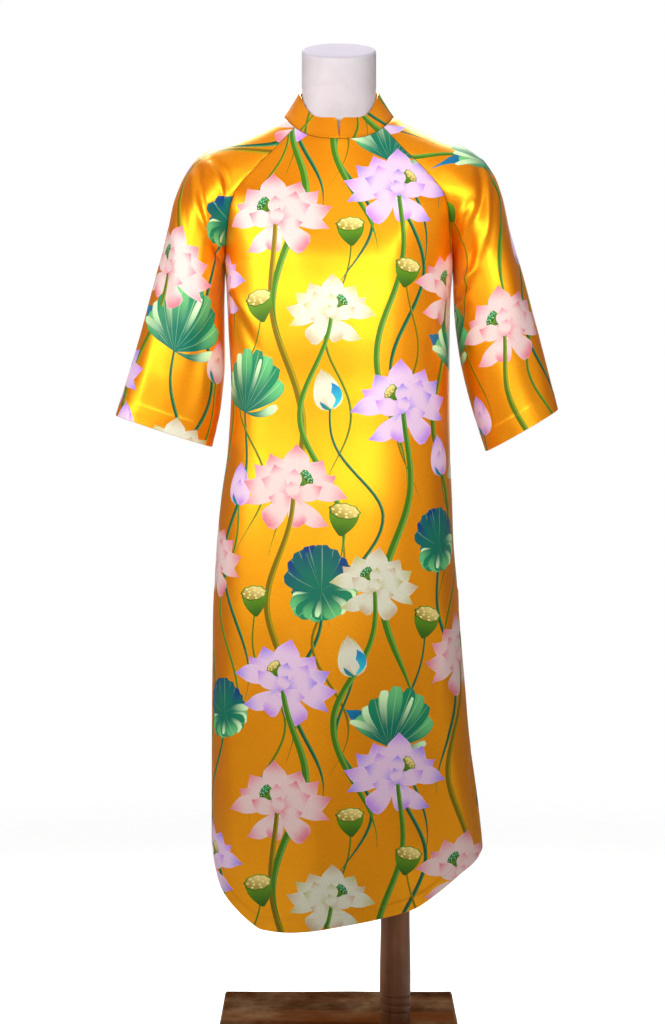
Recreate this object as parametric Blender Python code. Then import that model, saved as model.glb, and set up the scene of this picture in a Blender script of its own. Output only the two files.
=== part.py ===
"""Midi ao dai tunic of printed satin, standing on a limbless dress form with a wooden post and base.

Frame: metres, +Z up, the front faces -Y and +X is the viewer's right.
The origin is the centre of the underside of the base, where the part rests.

The garment is made from the points of its seams. The front panel, the back panel, the two raglan
sleeves and the stand collar sample the same seam points, so each wall abuts its neighbour at a sewn
joint, and every wall is a thin shell around an empty hollow.
"""
import math

import bmesh
import bpy
from mathutils import Vector
from mathutils.bvhtree import BVHTree

# ---- driving dimensions -------------------------------------------------------------------------
CLOTH = 0.0016              # thickness of a panel with its turned edges
COLLAR_CLOTH = 0.0022       # the collar band is interfaced, so it is thicker
SEAM = 0.00015              # each edge stops this far short of its seam line

NECK_HALF_WIDTH = 0.0760    # neckline seam, an oval seen from above
NECK_HALF_DEPTH = 0.0660
NECK_CENTRE_Y = -0.0040
NECK_FRONT_Z = 1.2650
NECK_SIDE_Z = 1.3010
NECK_BACK_Z = 1.3120
COLLAR_HALF_WIDTH = 0.0548  # upper edge of the stand collar
COLLAR_HALF_DEPTH = 0.0555
COLLAR_CENTRE_Y = 0.0005
COLLAR_FRONT_Z = 1.2950
COLLAR_SIDE_Z = 1.3360
COLLAR_BACK_Z = 1.3460
COLLAR_NOTCH = 0.0040       # depth of the small V at the centre front

RAGLAN_FRONT_ANGLE = 52.8   # where the raglan seams meet the neckline, in degrees round from the front
RAGLAN_BACK_ANGLE = 130.0
ARMPIT_Z = 1.1000
SLIT_TOP_Z = 0.6450
SLIT_SPREAD = 0.0070        # how far each free side edge stands off the plane of the side seams
BACK_TUCK = 0.0090          # the back panel hangs this much narrower below the slits
HEM_MEAN_Z = 0.2200
HEM_BLEND = 0.55            # the hem's curve starts to show this far down the skirt
SLIT_OPENING = 0.16         # height below the slit's top over which the free edges part
SKIRT_FULLNESS = 0.85       # below 1, a row of the skirt is flatter at the front than an ellipse
NECK_FADE = 0.4             # share of the yoke over which the neckline's own curve fades out
NECK_DROP_SHAPE = 1.5       # how fast the front's dip at the neckline levels out down the yoke
MITRE_FROM, MITRE_TO = 0.3, 0.6   # walls whose normals agree more than this meet in one mitre

BASE_SIZE = (0.3410, 0.3400, 0.0220)
BASE_EDGE = 0.0030
POST_X = 0.0800
POST_TOP_RADIUS = 0.0204
POST_FOOT_RADIUS = 0.0219
GROOVE_DEPTH = 0.0016
GROOVE_HALF_WIDTH = 0.0026
GROOVE_HEIGHTS = (0.0463, 0.0570, 0.0678)
JOINT_GAP = 0.0003          # between two pieces that touch
FORM_BOTTOM_Z = 0.6650
FORM_BOTTOM_ROUND = ((0.0, 0.93), (0.0030, 0.975), (0.0100, 1.0))   # rise, share of the first ring
FORM_NECK_RADIUS = 0.0515
FORM_CAP_Z = 1.3950
FORM_CAP_SLOPE = 0.36       # rise of the neck's flat cap from front to back
FORM_CAP_EDGE = 0.0030      # bevel round the cap
FORM_SHOULDER_Z = (1.18, 1.225)   # the cloth comes down onto the form between these heights
FORM_SHOULDER_SIDE = (0.80, 0.98) # and as a point's direction from the middle turns this far sideways
REST_GAP = 0.0005           # cloth to form where the garment hangs from the shoulders
LOOSE_GAP = 0.0040          # cloth to form elsewhere, at least

# Raglan sleeve, from the neckline (run 0) to the armpit (run 1).
# run, seam x, seam z, shoulder line x, shoulder line z, half depth, seam angle in degrees, rise to the back
YOKE = (
    (0.000, 0.0605, 1.2832, 0.0757, 1.3012, 0.0438, 70.0, 0.0127),
    (0.125, 0.0880, 1.2530, 0.1000, 1.2900, 0.0560, 76.0, 0.0100),
    (0.250, 0.1155, 1.2245, 0.1325, 1.2770, 0.0660, 84.0, 0.0060),
    (0.375, 0.1335, 1.2040, 0.1640, 1.2660, 0.0715, 94.0, 0.0030),
    (0.500, 0.1433, 1.1870, 0.1855, 1.2533, 0.0740, 106.0, 0.0010),
    (0.625, 0.1487, 1.1700, 0.2025, 1.2385, 0.0748, 120.0, 0.0000),
    (0.750, 0.1518, 1.1520, 0.2145, 1.2200, 0.0745, 137.0, 0.0000),
    (0.875, 0.1555, 1.1270, 0.2262, 1.1930, 0.0730, 158.0, 0.0000),
    (1.000, 0.1585, 1.1000, 0.2360, 1.1520, 0.0700, 180.0, 0.0000),
)
# Sleeve below the armpit: run, underarm x, underarm z, outer x, outer z, half depth
LEFT_TUBE = (
    (0.00, 0.1585, 1.1000, 0.2360, 1.1520, 0.0700),
    (0.25, 0.1600, 1.0350, 0.2570, 1.0760, 0.0640),
    (0.50, 0.1595, 0.9700, 0.2765, 1.0040, 0.0560),
    (0.75, 0.1650, 0.9050, 0.2960, 0.9400, 0.0480),
    (1.00, 0.1780, 0.8464, 0.3117, 0.8903, 0.0420),
)
RIGHT_TUBE = (
    (0.00, 0.1585, 1.1000, 0.2360, 1.1520, 0.0700),
    (0.25, 0.1610, 1.0350, 0.2560, 1.0900, 0.0640),
    (0.50, 0.1680, 0.9760, 0.2730, 1.0240, 0.0560),
    (0.75, 0.1840, 0.9080, 0.2905, 0.9580, 0.0480),
    (1.00, 0.2059, 0.8404, 0.3060, 0.8983, 0.0420),
)
# Body at the side seams and free edges: height, half width on the left, half width on the right
SIDES = (
    (0.2000, 0.1790, 0.2030), (0.2790, 0.1790, 0.2000), (0.3470, 0.1787, 0.1930),
    (0.3930, 0.1785, 0.1870), (0.4460, 0.1780, 0.1805), (0.5020, 0.1772, 0.1762),
    (0.5560, 0.1762, 0.1720), (0.6100, 0.1755, 0.1680), (0.6510, 0.1738, 0.1655),
    (0.7150, 0.1700, 0.1600), (0.7740, 0.1642, 0.1580), (0.8450, 0.1545, 0.1550),
    (0.9310, 0.1500, 0.1540), (1.0060, 0.1535, 0.1540), (1.0500, 0.1553, 0.1550),
    (1.1000, 0.1585, 0.1585),
)
# Depth of the body on its centre lines: height, front y
FRONT_DEPTH = (
    (0.2000, -0.1050), (0.3500, -0.1070), (0.5000, -0.1100), (0.6500, -0.1120), (0.7500, -0.1120),
    (0.8500, -0.1100), (0.9300, -0.1130), (1.0000, -0.1190), (1.0500, -0.1215), (1.1000, -0.1180),
    (1.1500, -0.1085), (1.2000, -0.0945), (1.2400, -0.0800), (1.2650, -0.0700),
)
# height, back y
BACK_DEPTH = (
    (0.2000, 0.1030), (0.4000, 0.1060), (0.6000, 0.1100), (0.7000, 0.1100), (0.7800, 0.1050),
    (0.8800, 0.0960), (0.9500, 0.0970), (1.0500, 0.1060), (1.1200, 0.1080), (1.2000, 0.0990),
    (1.2700, 0.0780), (1.3120, 0.0620),
)
# Hem of the front, from the left corner (-1) to the right corner (1): place, height
FRONT_HEM = (
    (-1.00, 0.3000), (-0.97, 0.2660), (-0.91, 0.2330), (-0.80, 0.2095), (-0.70, 0.1945),
    (-0.60, 0.1845), (-0.44, 0.1828), (-0.25, 0.1858), (0.00, 0.1935), (0.27, 0.2028),
    (0.50, 0.2140), (0.68, 0.2345), (0.85, 0.2586), (0.94, 0.2706), (1.00, 0.2850),
)
BACK_HEM = ((-1.00, 0.2950), (-0.88, 0.2450), (-0.60, 0.2080), (0.00, 0.1980), (0.60, 0.2080),
            (0.88, 0.2450), (1.00, 0.2950))
# Dress form from its underside to the top of its neck: height, half width, front y, back y
FORM = (
    (0.6650, 0.1480, -0.0950, 0.0950), (0.6900, 0.1540, -0.1000, 0.0990),
    (0.7500, 0.1500, -0.0990, 0.0960), (0.8200, 0.1360, -0.0930, 0.0850),
    (0.9000, 0.1280, -0.0930, 0.0810), (0.9700, 0.1360, -0.1020, 0.0880),
    (1.0400, 0.1440, -0.1120, 0.0950), (1.1000, 0.1480, -0.1080, 0.0980),
    (1.1500, 0.1560, -0.0960, 0.0960), (1.1850, 0.1700, -0.0840, 0.0880),
    (1.2100, 0.1800, -0.0760, 0.0800), (1.2280, 0.1850, -0.0700, 0.0740),
    (1.2420, 0.1850, -0.0660, 0.0700), (1.2520, 0.1830, -0.0630, 0.0680),
    (1.2600, 0.1760, -0.0600, 0.0670), (1.2670, 0.1640, -0.0580, 0.0660),
    (1.2740, 0.1440, -0.0500, 0.0640), (1.2810, 0.1220, -0.0460, 0.0610),
    (1.2880, 0.0980, -0.0420, 0.0560), (1.2950, 0.0780, -0.0420, 0.0530),
    (1.3010, 0.0640, -0.0440, 0.0515), (1.3080, 0.0565, -0.0475, 0.0510),
    (1.3200, 0.0525, -0.0505, 0.0510), (1.3400, 0.0508, -0.0508, 0.0508),
)

# ---- how finely the walls are divided -----------------------------------------------------------
YOKE_ROWS = 11
SKIRT_ROWS = 16
TUBE_ROWS = 7
FRONT_COLUMNS = 22
BACK_COLUMNS = 18
SLEEVE_COLUMNS = 20
COLLAR_ROWS = 3
FORM_COLUMNS = 32
POST_SIDES = 28


def clear_scene():
    """Remove what a new file starts with."""
    for item in list(bpy.data.objects):
        bpy.data.objects.remove(item, do_unlink=True)


def smooth_value(table, key, column=1):
    """Read a column of a table at a key, on a smooth curve that never overshoots its points."""
    keys = [row[0] for row in table]
    values = [row[column] for row in table]
    if key <= keys[0]:
        return values[0]
    if key >= keys[-1]:
        return values[-1]
    slopes = [(values[i + 1] - values[i]) / (keys[i + 1] - keys[i]) for i in range(len(keys) - 1)]
    tangents = [slopes[0]]
    for before, after in zip(slopes, slopes[1:]):
        level = before * after <= 0.0
        tangents.append(0.0 if level else 2.0 * before * after / (before + after))
    tangents.append(slopes[-1])
    i = max(k for k in range(len(keys) - 1) if keys[k] <= key)
    width = keys[i + 1] - keys[i]
    u = (key - keys[i]) / width
    return ((1 + 2 * u) * (1 - u) ** 2 * values[i] + u * (1 - u) ** 2 * width * tangents[i]
            + u * u * (3 - 2 * u) * values[i + 1] + u * u * (u - 1) * width * tangents[i + 1])


def smooth_step(value, low, high):
    """Rise from 0 at low to 1 at high with level ends."""
    u = min(1.0, max(0.0, (value - low) / (high - low)))
    return u * u * (3.0 - 2.0 * u)


# ---- curves of the garment ----------------------------------------------------------------------
def neckline(angle):
    """Point of the neckline seam at an angle in degrees round from the front, +X first."""
    turn = math.radians(angle)
    middle_z = NECK_FRONT_Z if math.cos(turn) > 0.0 else NECK_BACK_Z
    return Vector((NECK_HALF_WIDTH * math.sin(turn),
                   NECK_CENTRE_Y - NECK_HALF_DEPTH * math.cos(turn),
                   middle_z + (NECK_SIDE_Z - middle_z) * abs(math.sin(turn)) ** 3))


def collar_edge(angle):
    """Point of the collar's upper edge above the neckline point at the same angle."""
    turn = math.radians(angle)
    middle_z = COLLAR_FRONT_Z if math.cos(turn) > 0.0 else COLLAR_BACK_Z
    return Vector((COLLAR_HALF_WIDTH * math.sin(turn),
                   COLLAR_CENTRE_Y - COLLAR_HALF_DEPTH * math.cos(turn),
                   middle_z + (COLLAR_SIDE_Z - middle_z) * abs(math.sin(turn)) ** 5))


def sleeve_section(side, run):
    """Centre, two radii and end angle of a sleeve's section; run 0 to 1 is the yoke, 1 to 2 the tube."""
    if run <= 1.0:
        seam_x, seam_z, top_x, top_z, half_depth, angle, rise = (
            smooth_value(YOKE, run, column) for column in range(1, 8))
        end = math.radians(angle)
        seam_z += rise * math.sin(end)
    else:
        tube = RIGHT_TUBE if side > 0 else LEFT_TUBE
        seam_x, seam_z, top_x, top_z, half_depth = (
            smooth_value(tube, run - 1.0, column) for column in range(1, 6))
        end, rise = math.pi, 0.0
    middle = Vector((side * seam_x, 0.0, seam_z))
    top = Vector((side * top_x, 0.0, top_z))
    across = (top - middle) / (1.0 - math.cos(end))
    along = Vector((0.0, half_depth, rise))
    return top - across, across, along, end


def sleeve_point(side, run, place):
    """Point of a sleeve; place runs from -1 on the front seam over the shoulder line to 1 on the back."""
    centre, across, along, end = sleeve_section(side, run)
    turn = place * end
    point = centre + across * math.cos(turn) + along * math.sin(turn)
    fade = max(0.0, 1.0 - run / NECK_FADE) ** 2
    if fade > 0.0:
        first_centre, first_across, first_along, first_end = sleeve_section(side, 0.0)
        first_turn = place * first_end
        first = (first_centre + first_across * math.cos(first_turn)
                 + first_along * math.sin(first_turn))
        span = 0.5 * (RAGLAN_BACK_ANGLE - RAGLAN_FRONT_ANGLE)
        angle = RAGLAN_FRONT_ANGLE + span * (place + 1.0)
        wanted = neckline(side * angle)
        point += (wanted - first) * fade
    return point


def arc_across(left, right, centre_y, end_angle, fullness, place):
    """Point of a row between two side points, bowed forwards or back to centre_y; place is -1 to 1."""
    end = right if place > 0.0 else left
    turn = place * end_angle
    reach = abs(math.sin(turn)) / math.sin(end_angle)
    bow = max(0.0, (math.cos(turn) - math.cos(end_angle)) / (1.0 - math.cos(end_angle)))
    return Vector((end.x * reach, end.y + (centre_y - end.y) * bow ** fullness, 0.0)), reach


def yoke_row(front, run, places):
    """A row of the front or back panel between its two raglan seams."""
    end_place = -1.0 if front else 1.0
    left = sleeve_point(-1, run, end_place)
    right = sleeve_point(1, run, end_place)
    start_angle = RAGLAN_FRONT_ANGLE if front else 180.0 - RAGLAN_BACK_ANGLE
    end_angle = math.radians(start_angle + (90.0 - start_angle) * smooth_step(run, -0.2, 1.0))
    if run <= 0.0:
        end_angle = math.radians(start_angle)      # the first row is the neckline itself
    drop = (NECK_FRONT_Z if front else NECK_BACK_Z) - sleeve_point(1, 0.0, end_place).z
    middle_z = right.z + drop * (1.0 - run) ** NECK_DROP_SHAPE
    centre_y = smooth_value(FRONT_DEPTH if front else BACK_DEPTH, middle_z)
    fullness = 1.0 + (SKIRT_FULLNESS - 1.0) * run ** 3
    row = []
    for place in places:
        point, reach = arc_across(left, right, centre_y, end_angle, fullness, place)
        point.z = middle_z + (right.z - middle_z) * reach ** 3
        row.append(point)
    return row


def skirt_row(front, run, places):
    """A row of the front or back panel below the armpits; run goes from 0 to 1 at the hem."""
    hem = FRONT_HEM if front else BACK_HEM
    level = ARMPIT_Z + (HEM_MEAN_Z - ARMPIT_Z) * run
    turned = smooth_step(run, HEM_BLEND, 1.0)
    row = []
    for place in places:
        sine = math.sin(place * math.pi / 2)
        height = level + (smooth_value(hem, sine) - HEM_MEAN_Z) * turned
        free = smooth_step(SLIT_TOP_Z - height, 0.0, SLIT_OPENING)
        edge_y = SLIT_SPREAD * free * (-1.0 if front else 1.0)
        tuck = 0.0 if front else BACK_TUCK * free
        left = Vector((tuck - smooth_value(SIDES, height, 1), edge_y, height))
        right = Vector((smooth_value(SIDES, height, 2) - tuck, edge_y, height))
        centre_y = smooth_value(FRONT_DEPTH if front else BACK_DEPTH, height)
        point, _ = arc_across(left, right, centre_y, math.pi / 2, SKIRT_FULLNESS, place)
        point.z = height
        row.append(point)
    return row


# ---- sheets and shells --------------------------------------------------------------------------
def even_places(columns):
    """Places from -1 to 1."""
    return [2.0 * i / columns - 1.0 for i in range(columns + 1)]


def body_rows(front):
    """All rows of the front or back panel."""
    places = even_places(FRONT_COLUMNS if front else BACK_COLUMNS)
    rows = [yoke_row(front, i / YOKE_ROWS, places) for i in range(YOKE_ROWS)]
    rows += [skirt_row(front, i / SKIRT_ROWS, places) for i in range(SKIRT_ROWS + 1)]
    if front:
        return [row[::-1] for row in rows]
    return rows


def sleeve_rows(side):
    """All rows of a sleeve, open above the armpit and welded into a tube below it."""
    places = even_places(SLEEVE_COLUMNS)
    runs = [i / YOKE_ROWS for i in range(YOKE_ROWS)]
    runs += [1.0 + i / TUBE_ROWS for i in range(TUBE_ROWS + 1)]
    if side > 0:
        places = places[::-1]
    return [[sleeve_point(side, run, place) for place in places] for run in runs]


def collar_angles():
    """Angles of the collar's columns: those at which the four panels meet the neckline."""
    front = [place * RAGLAN_FRONT_ANGLE for place in even_places(FRONT_COLUMNS) if place >= 0.0]
    span = RAGLAN_BACK_ANGLE - RAGLAN_FRONT_ANGLE
    sleeve = [RAGLAN_FRONT_ANGLE + span * i / SLEEVE_COLUMNS for i in range(1, SLEEVE_COLUMNS)]
    rest = 180.0 - RAGLAN_BACK_ANGLE
    back = [180.0 - place * rest for place in even_places(BACK_COLUMNS)[::-1] if place >= 0.0]
    half = front + sleeve + back
    return half + [360.0 - angle for angle in half[-2::-1]]


def collar_rows():
    """Rows of the stand collar from its upper edge down to the neckline."""
    rows = []
    for i in range(COLLAR_ROWS + 1):
        rise = 1.0 - i / COLLAR_ROWS
        row = []
        for angle in collar_angles():
            low, high = neckline(angle), collar_edge(angle)
            if angle in (0.0, 360.0):
                high.z -= COLLAR_NOTCH
            row.append(low.lerp(high, rise))
        rows.append(row[::-1])
    return rows


class Sheet:
    """One layer of cloth: its points, its faces and which points lie on its edges."""

    def __init__(self, rows, welded_from=None):
        self.points = []
        self.faces = []
        width = len(rows[0])
        index = []
        for r, row in enumerate(rows):
            line = []
            for c, point in enumerate(row):
                if welded_from is not None and r >= welded_from and c == width - 1:
                    line.append(line[0])
                else:
                    line.append(len(self.points))
                    self.points.append(point.copy())
            index.append(line)
        for upper, lower in zip(index, index[1:]):
            for c in range(width - 1):
                self.faces.append((upper[c], upper[c + 1], lower[c + 1], lower[c]))
        uses = {}
        for face in self.faces:
            for a, b in zip(face, face[1:] + face[:1]):
                uses.setdefault(frozenset((a, b)), []).append((a, b))
        self.rim = [edges[0] for edges in uses.values() if len(edges) == 1]
        self.edge_points = {i for edge in self.rim for i in edge}
        self.normals = self.face_normals()

    def face_normals(self):
        """Mean direction of the faces at each point."""
        normals = [Vector() for _ in self.points]
        for face in self.faces:
            a, b, c, d = (self.points[i] for i in face)
            normal = (c - a).cross(d - b)
            for i in face:
                normals[i] += normal
        return [normal.normalized() for normal in normals]

    def trimmed(self):
        """Points with each edge drawn back from its seam line."""
        near = {i: Vector() for i in self.edge_points}
        count = dict.fromkeys(self.edge_points, 0)
        for face in self.faces:
            inside = [i for i in face if i not in self.edge_points] or list(face)
            for i in face:
                if i in near:
                    near[i] += sum((self.points[k] for k in inside), Vector()) / len(inside)
                    count[i] += 1
        points = [point.copy() for point in self.points]
        for i in self.edge_points:
            step = near[i] / count[i] - points[i]
            points[i] += step.normalized() * SEAM
        return points


def seam_key(point):
    """Key by which two sheets find the seam points they share."""
    return tuple(round(value, 5) for value in point)


def share_seams(sheets):
    """Mean normals at the points that several sheets share, so that their walls are mitred alike."""
    shared = {}
    for sheet in sheets:
        for i in sheet.edge_points:
            key = seam_key(sheet.points[i])
            shared[key] = shared.get(key, Vector()) + sheet.normals[i]
    return shared


def shell_object(name, sheet, shared, thickness, look):
    """Closed wall of cloth: the sheet is its outer face, and it has an inner face and a rim."""
    outer = sheet.trimmed()
    inner = []
    for i, point in enumerate(outer):
        own = sheet.normals[i]
        mitre = own
        if i in sheet.edge_points:
            joint = shared[seam_key(sheet.points[i])].normalized()
            mitre = own.lerp(joint, smooth_step(own.dot(joint), MITRE_FROM, MITRE_TO)).normalized()
        stretch = 1.0 / max(MITRE_TO, own.dot(mitre))
        inner.append(point - mitre * thickness * stretch)
    count = len(outer)
    faces = [tuple(face) for face in sheet.faces]
    faces += [tuple(count + i for i in reversed(face)) for face in sheet.faces]
    faces += [(b, a, count + a, count + b) for a, b in sheet.rim]
    return mesh_object(name, outer + inner, faces, look)


def mesh_object(name, points, faces, look):
    """Make an object from points and faces, smooth except at sharp edges."""
    mesh = bpy.data.meshes.new(name)
    mesh.from_pydata([tuple(point) for point in points], [], faces)
    mesh.update()
    mesh.shade_smooth()
    mesh.set_sharp_from_angle(angle=math.radians(50.0))
    mesh.materials.append(look)
    item = bpy.data.objects.new(name, mesh)
    bpy.context.scene.collection.objects.link(item)
    return item


def principled(name, colour, roughness, metallic=0.0):
    """Plain material of one colour."""
    look = bpy.data.materials.new(name)
    look.use_nodes = True
    shader = look.node_tree.nodes["Principled BSDF"]
    shader.inputs["Base Color"].default_value = (*colour, 1.0)
    shader.inputs["Roughness"].default_value = roughness
    shader.inputs["Metallic"].default_value = metallic
    return look


# ---- the pieces ---------------------------------------------------------------------------------
def garment():
    """Front, back, sleeves and collar, each a wall of its own."""
    satin = principled("satin_gold", (0.87, 0.38, 0.01), 0.36)
    collar_satin = principled("satin_collar", (0.90, 0.45, 0.02), 0.34)
    sheets = {
        "front_panel": Sheet(body_rows(True)),
        "back_panel": Sheet(body_rows(False)),
        "sleeve_left": Sheet(sleeve_rows(-1), welded_from=YOKE_ROWS),
        "sleeve_right": Sheet(sleeve_rows(1), welded_from=YOKE_ROWS),
        "collar": Sheet(collar_rows()),
    }
    shared = share_seams(sheets.values())
    made = []
    for name, sheet in sheets.items():
        is_collar = name == "collar"
        thickness = COLLAR_CLOTH if is_collar else CLOTH
        made.append(shell_object(name, sheet, shared, thickness, collar_satin if is_collar else satin))
    return made


def cloth_reach(walls):
    """A function that gives the way from a point to the nearest cloth in a direction."""
    points, faces = [], []
    for wall in walls:
        start = len(points)
        points += [tuple(vertex.co) for vertex in wall.data.vertices]
        faces += [tuple(start + i for i in polygon.vertices) for polygon in wall.data.polygons]
    tree = BVHTree.FromPolygons(points, faces, epsilon=0.0)

    def reach(origin, direction, gap):
        hit, normal, _, distance = tree.ray_cast(origin, direction, 1.0)
        if hit is None:
            return None
        return distance - gap / max(0.25, abs(normal.dot(direction)))

    return reach


def form_ring(height, reach):
    """One ring of the dress form, held inside the cloth around it and near it along the shoulders."""
    half_width, front_y, back_y = (smooth_value(FORM, height, column) for column in (1, 2, 3))
    shoulder = smooth_step(height, *FORM_SHOULDER_Z)
    ring = []
    for i in range(FORM_COLUMNS):
        turn = 2.0 * math.pi * i / FORM_COLUMNS
        depth = front_y if math.cos(turn) > 0.0 else -back_y
        point = Vector((half_width * math.sin(turn), depth * math.cos(turn), height))
        centre = Vector((0.0, 0.0, height))
        direction = (point - centre).normalized()
        rests = shoulder * smooth_step(abs(direction.x), *FORM_SHOULDER_SIDE)
        limit = reach(centre, direction, LOOSE_GAP + (REST_GAP - LOOSE_GAP) * rests)
        if limit is not None and limit < (point - centre).length:
            point = centre + direction * limit
        ring.append(point)
    return ring


def dress_form(walls):
    """Limbless torso with a cylindrical neck, one smooth closed solid."""
    reach = cloth_reach(walls)
    heights = [row[0] for row in FORM]
    rings = [form_ring(height, reach) for height in heights]
    first = rings.pop(0)
    under = []
    for lift, share in FORM_BOTTOM_ROUND:
        under.append([Vector((p.x * share, p.y * share, FORM_BOTTOM_Z + lift)) for p in first])
    rings = under + rings
    for drop, inset in ((FORM_CAP_EDGE, 0.0), (0.0, FORM_CAP_EDGE)):
        ring = []
        for i in range(FORM_COLUMNS):
            turn = 2.0 * math.pi * i / FORM_COLUMNS
            radius = FORM_NECK_RADIUS - inset
            x, y = radius * math.sin(turn), -radius * math.cos(turn)
            ring.append(Vector((x, y, FORM_CAP_Z + FORM_CAP_SLOPE * y - drop)))
        rings.append(ring)
    points = [point for ring in rings for point in ring]
    faces = []
    for r in range(len(rings) - 1):
        for i in range(FORM_COLUMNS):
            k = (i + 1) % FORM_COLUMNS
            low, high = r * FORM_COLUMNS, (r + 1) * FORM_COLUMNS
            faces.append((low + i, low + k, high + k, high + i))
    faces.append(tuple(reversed(range(FORM_COLUMNS))))
    top = (len(rings) - 1) * FORM_COLUMNS
    faces.append(tuple(range(top, top + FORM_COLUMNS)))
    return mesh_object("dress_form", points, faces, principled("form_white", (0.80, 0.76, 0.80), 0.45))


def post_profile():
    """Radius and height of the turned post from its foot to its top."""
    foot, top = BASE_SIZE[2] + JOINT_GAP, FORM_BOTTOM_Z - JOINT_GAP
    points = [(POST_FOOT_RADIUS - 0.001, foot), (POST_FOOT_RADIUS, foot + 0.001)]
    for height in GROOVE_HEIGHTS:
        points += [(POST_FOOT_RADIUS, height - GROOVE_HALF_WIDTH),
                   (POST_FOOT_RADIUS - GROOVE_DEPTH, height),
                   (POST_FOOT_RADIUS, height + GROOVE_HALF_WIDTH)]
    shaft = GROOVE_HEIGHTS[-1] + 0.020
    points += [(POST_FOOT_RADIUS - 0.0006, shaft), (POST_TOP_RADIUS, shaft + 0.100)]
    points += [(POST_TOP_RADIUS, top)]
    return points


def post():
    """Turned wooden post between the base and the dress form."""
    profile = post_profile()
    points = []
    for radius, height in profile:
        for i in range(POST_SIDES):
            turn = 2.0 * math.pi * i / POST_SIDES
            points.append(Vector((POST_X + radius * math.cos(turn), radius * math.sin(turn), height)))
    faces = []
    for r in range(len(profile) - 1):
        for i in range(POST_SIDES):
            k = (i + 1) % POST_SIDES
            low, high = r * POST_SIDES, (r + 1) * POST_SIDES
            faces.append((low + i, low + k, high + k, high + i))
    faces.append(tuple(reversed(range(POST_SIDES))))
    top = (len(profile) - 1) * POST_SIDES
    faces.append(tuple(range(top, top + POST_SIDES)))
    return mesh_object("post", points, faces, principled("wood_walnut", (0.115, 0.040, 0.017), 0.5))


def base():
    """Rectangular wooden board with eased edges, lying on the floor."""
    shape = bmesh.new()
    bmesh.ops.create_cube(shape, size=1.0)
    bmesh.ops.scale(shape, vec=BASE_SIZE, verts=shape.verts)
    bmesh.ops.translate(shape, vec=(0.0, 0.0, BASE_SIZE[2] / 2), verts=shape.verts)
    eased = [edge for edge in shape.edges if sum(v.co.z for v in edge.verts) > BASE_SIZE[2] * 0.5]
    bmesh.ops.bevel(shape, geom=eased, offset=BASE_EDGE, segments=3, profile=0.5, affect="EDGES")
    mesh = bpy.data.meshes.new("base")
    shape.to_mesh(mesh)
    shape.free()
    mesh.shade_smooth()
    mesh.set_sharp_from_angle(angle=math.radians(30.0))
    mesh.materials.append(principled("wood_dark", (0.085, 0.035, 0.017), 0.55))
    item = bpy.data.objects.new("base", mesh)
    bpy.context.scene.collection.objects.link(item)
    return item


def main():
    """Build the whole part."""
    clear_scene()
    walls = garment()
    dress_form(walls)
    post()
    base()


main()
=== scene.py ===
"""Looks of a midi ao dai tunic of printed satin on a limbless dress form with a post and a board.

The garment is cut and sewn here as it is in the solids: a front, a back, two raglan sleeves and a
stand collar sample the same seam points. Each panel also has a flat pattern in metres. The lotus
print is laid out on that pattern and becomes part of the panel's mesh, so every petal and stem has
a crisp edge and its own gradient, and follows the cloth over each fold.
"""
import logging
import math
from dataclasses import dataclass, field
from enum import Enum
from itertools import product
from typing import Any, Callable, Iterable, Sequence

import bmesh
import bpy
import numpy as np
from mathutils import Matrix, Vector
from mathutils.bvhtree import BVHTree
from mathutils.geometry import delaunay_2d_cdt
from mathutils.kdtree import KDTree


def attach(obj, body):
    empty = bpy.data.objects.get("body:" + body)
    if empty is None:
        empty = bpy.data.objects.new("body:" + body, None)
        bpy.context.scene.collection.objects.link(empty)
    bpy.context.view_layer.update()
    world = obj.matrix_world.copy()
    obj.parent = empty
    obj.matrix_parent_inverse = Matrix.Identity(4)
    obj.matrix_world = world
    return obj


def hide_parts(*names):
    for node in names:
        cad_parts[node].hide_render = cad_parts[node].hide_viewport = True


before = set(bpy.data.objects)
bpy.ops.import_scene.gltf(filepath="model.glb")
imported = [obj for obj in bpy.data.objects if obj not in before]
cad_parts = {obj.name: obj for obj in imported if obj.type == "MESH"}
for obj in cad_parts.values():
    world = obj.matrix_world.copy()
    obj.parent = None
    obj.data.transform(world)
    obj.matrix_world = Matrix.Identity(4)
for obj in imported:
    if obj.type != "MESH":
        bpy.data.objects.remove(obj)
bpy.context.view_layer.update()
LOG = logging.getLogger("ao_dai")

Array = np.ndarray
Colour = tuple[float, float, float]
Spot = tuple[float, float, float]
BODY = "root"
WHITE: Colour = (1.0, 1.0, 1.0)
WARM: Colour = (1.0, 0.985, 0.96)
FULL_TURN = 2.0 * math.pi


# ---- small tools ----
def srgb(red: int, green: int, blue: int) -> Colour:
    """Turn a colour as a screen shows it, 0 to 255, into the light values that a shader takes.

    Args:
        red: Red.
        green: Green.
        blue: Blue.

    Returns:
        The three values in linear light.
    """
    parts = [value / 255.0 for value in (red, green, blue)]
    linear = [p / 12.92 if p <= 0.04045 else ((p + 0.055) / 1.055) ** 2.4 for p in parts]
    return linear[0], linear[1], linear[2]


def ease(value: Any, low: float, high: float) -> Any:
    """Rise from 0 at low to 1 at high with level ends.

    Args:
        value: A number or an array.
        low: Where the rise starts.
        high: Where it ends.

    Returns:
        The risen value, shaped like the one given.
    """
    part = np.clip((np.asarray(value, dtype=float) - low) / (high - low), 0.0, 1.0)
    return part * part * (3.0 - 2.0 * part)


def unit(vectors: Array) -> Array:
    """Scale each vector along the last axis to length 1."""
    return vectors / np.maximum(np.linalg.norm(vectors, axis=-1, keepdims=True), 1e-12)


def cross(first: Array, second: Array) -> Array:
    """Cross product of flat vectors along the last axis."""
    return first[..., 0] * second[..., 1] - first[..., 1] * second[..., 0]


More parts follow.
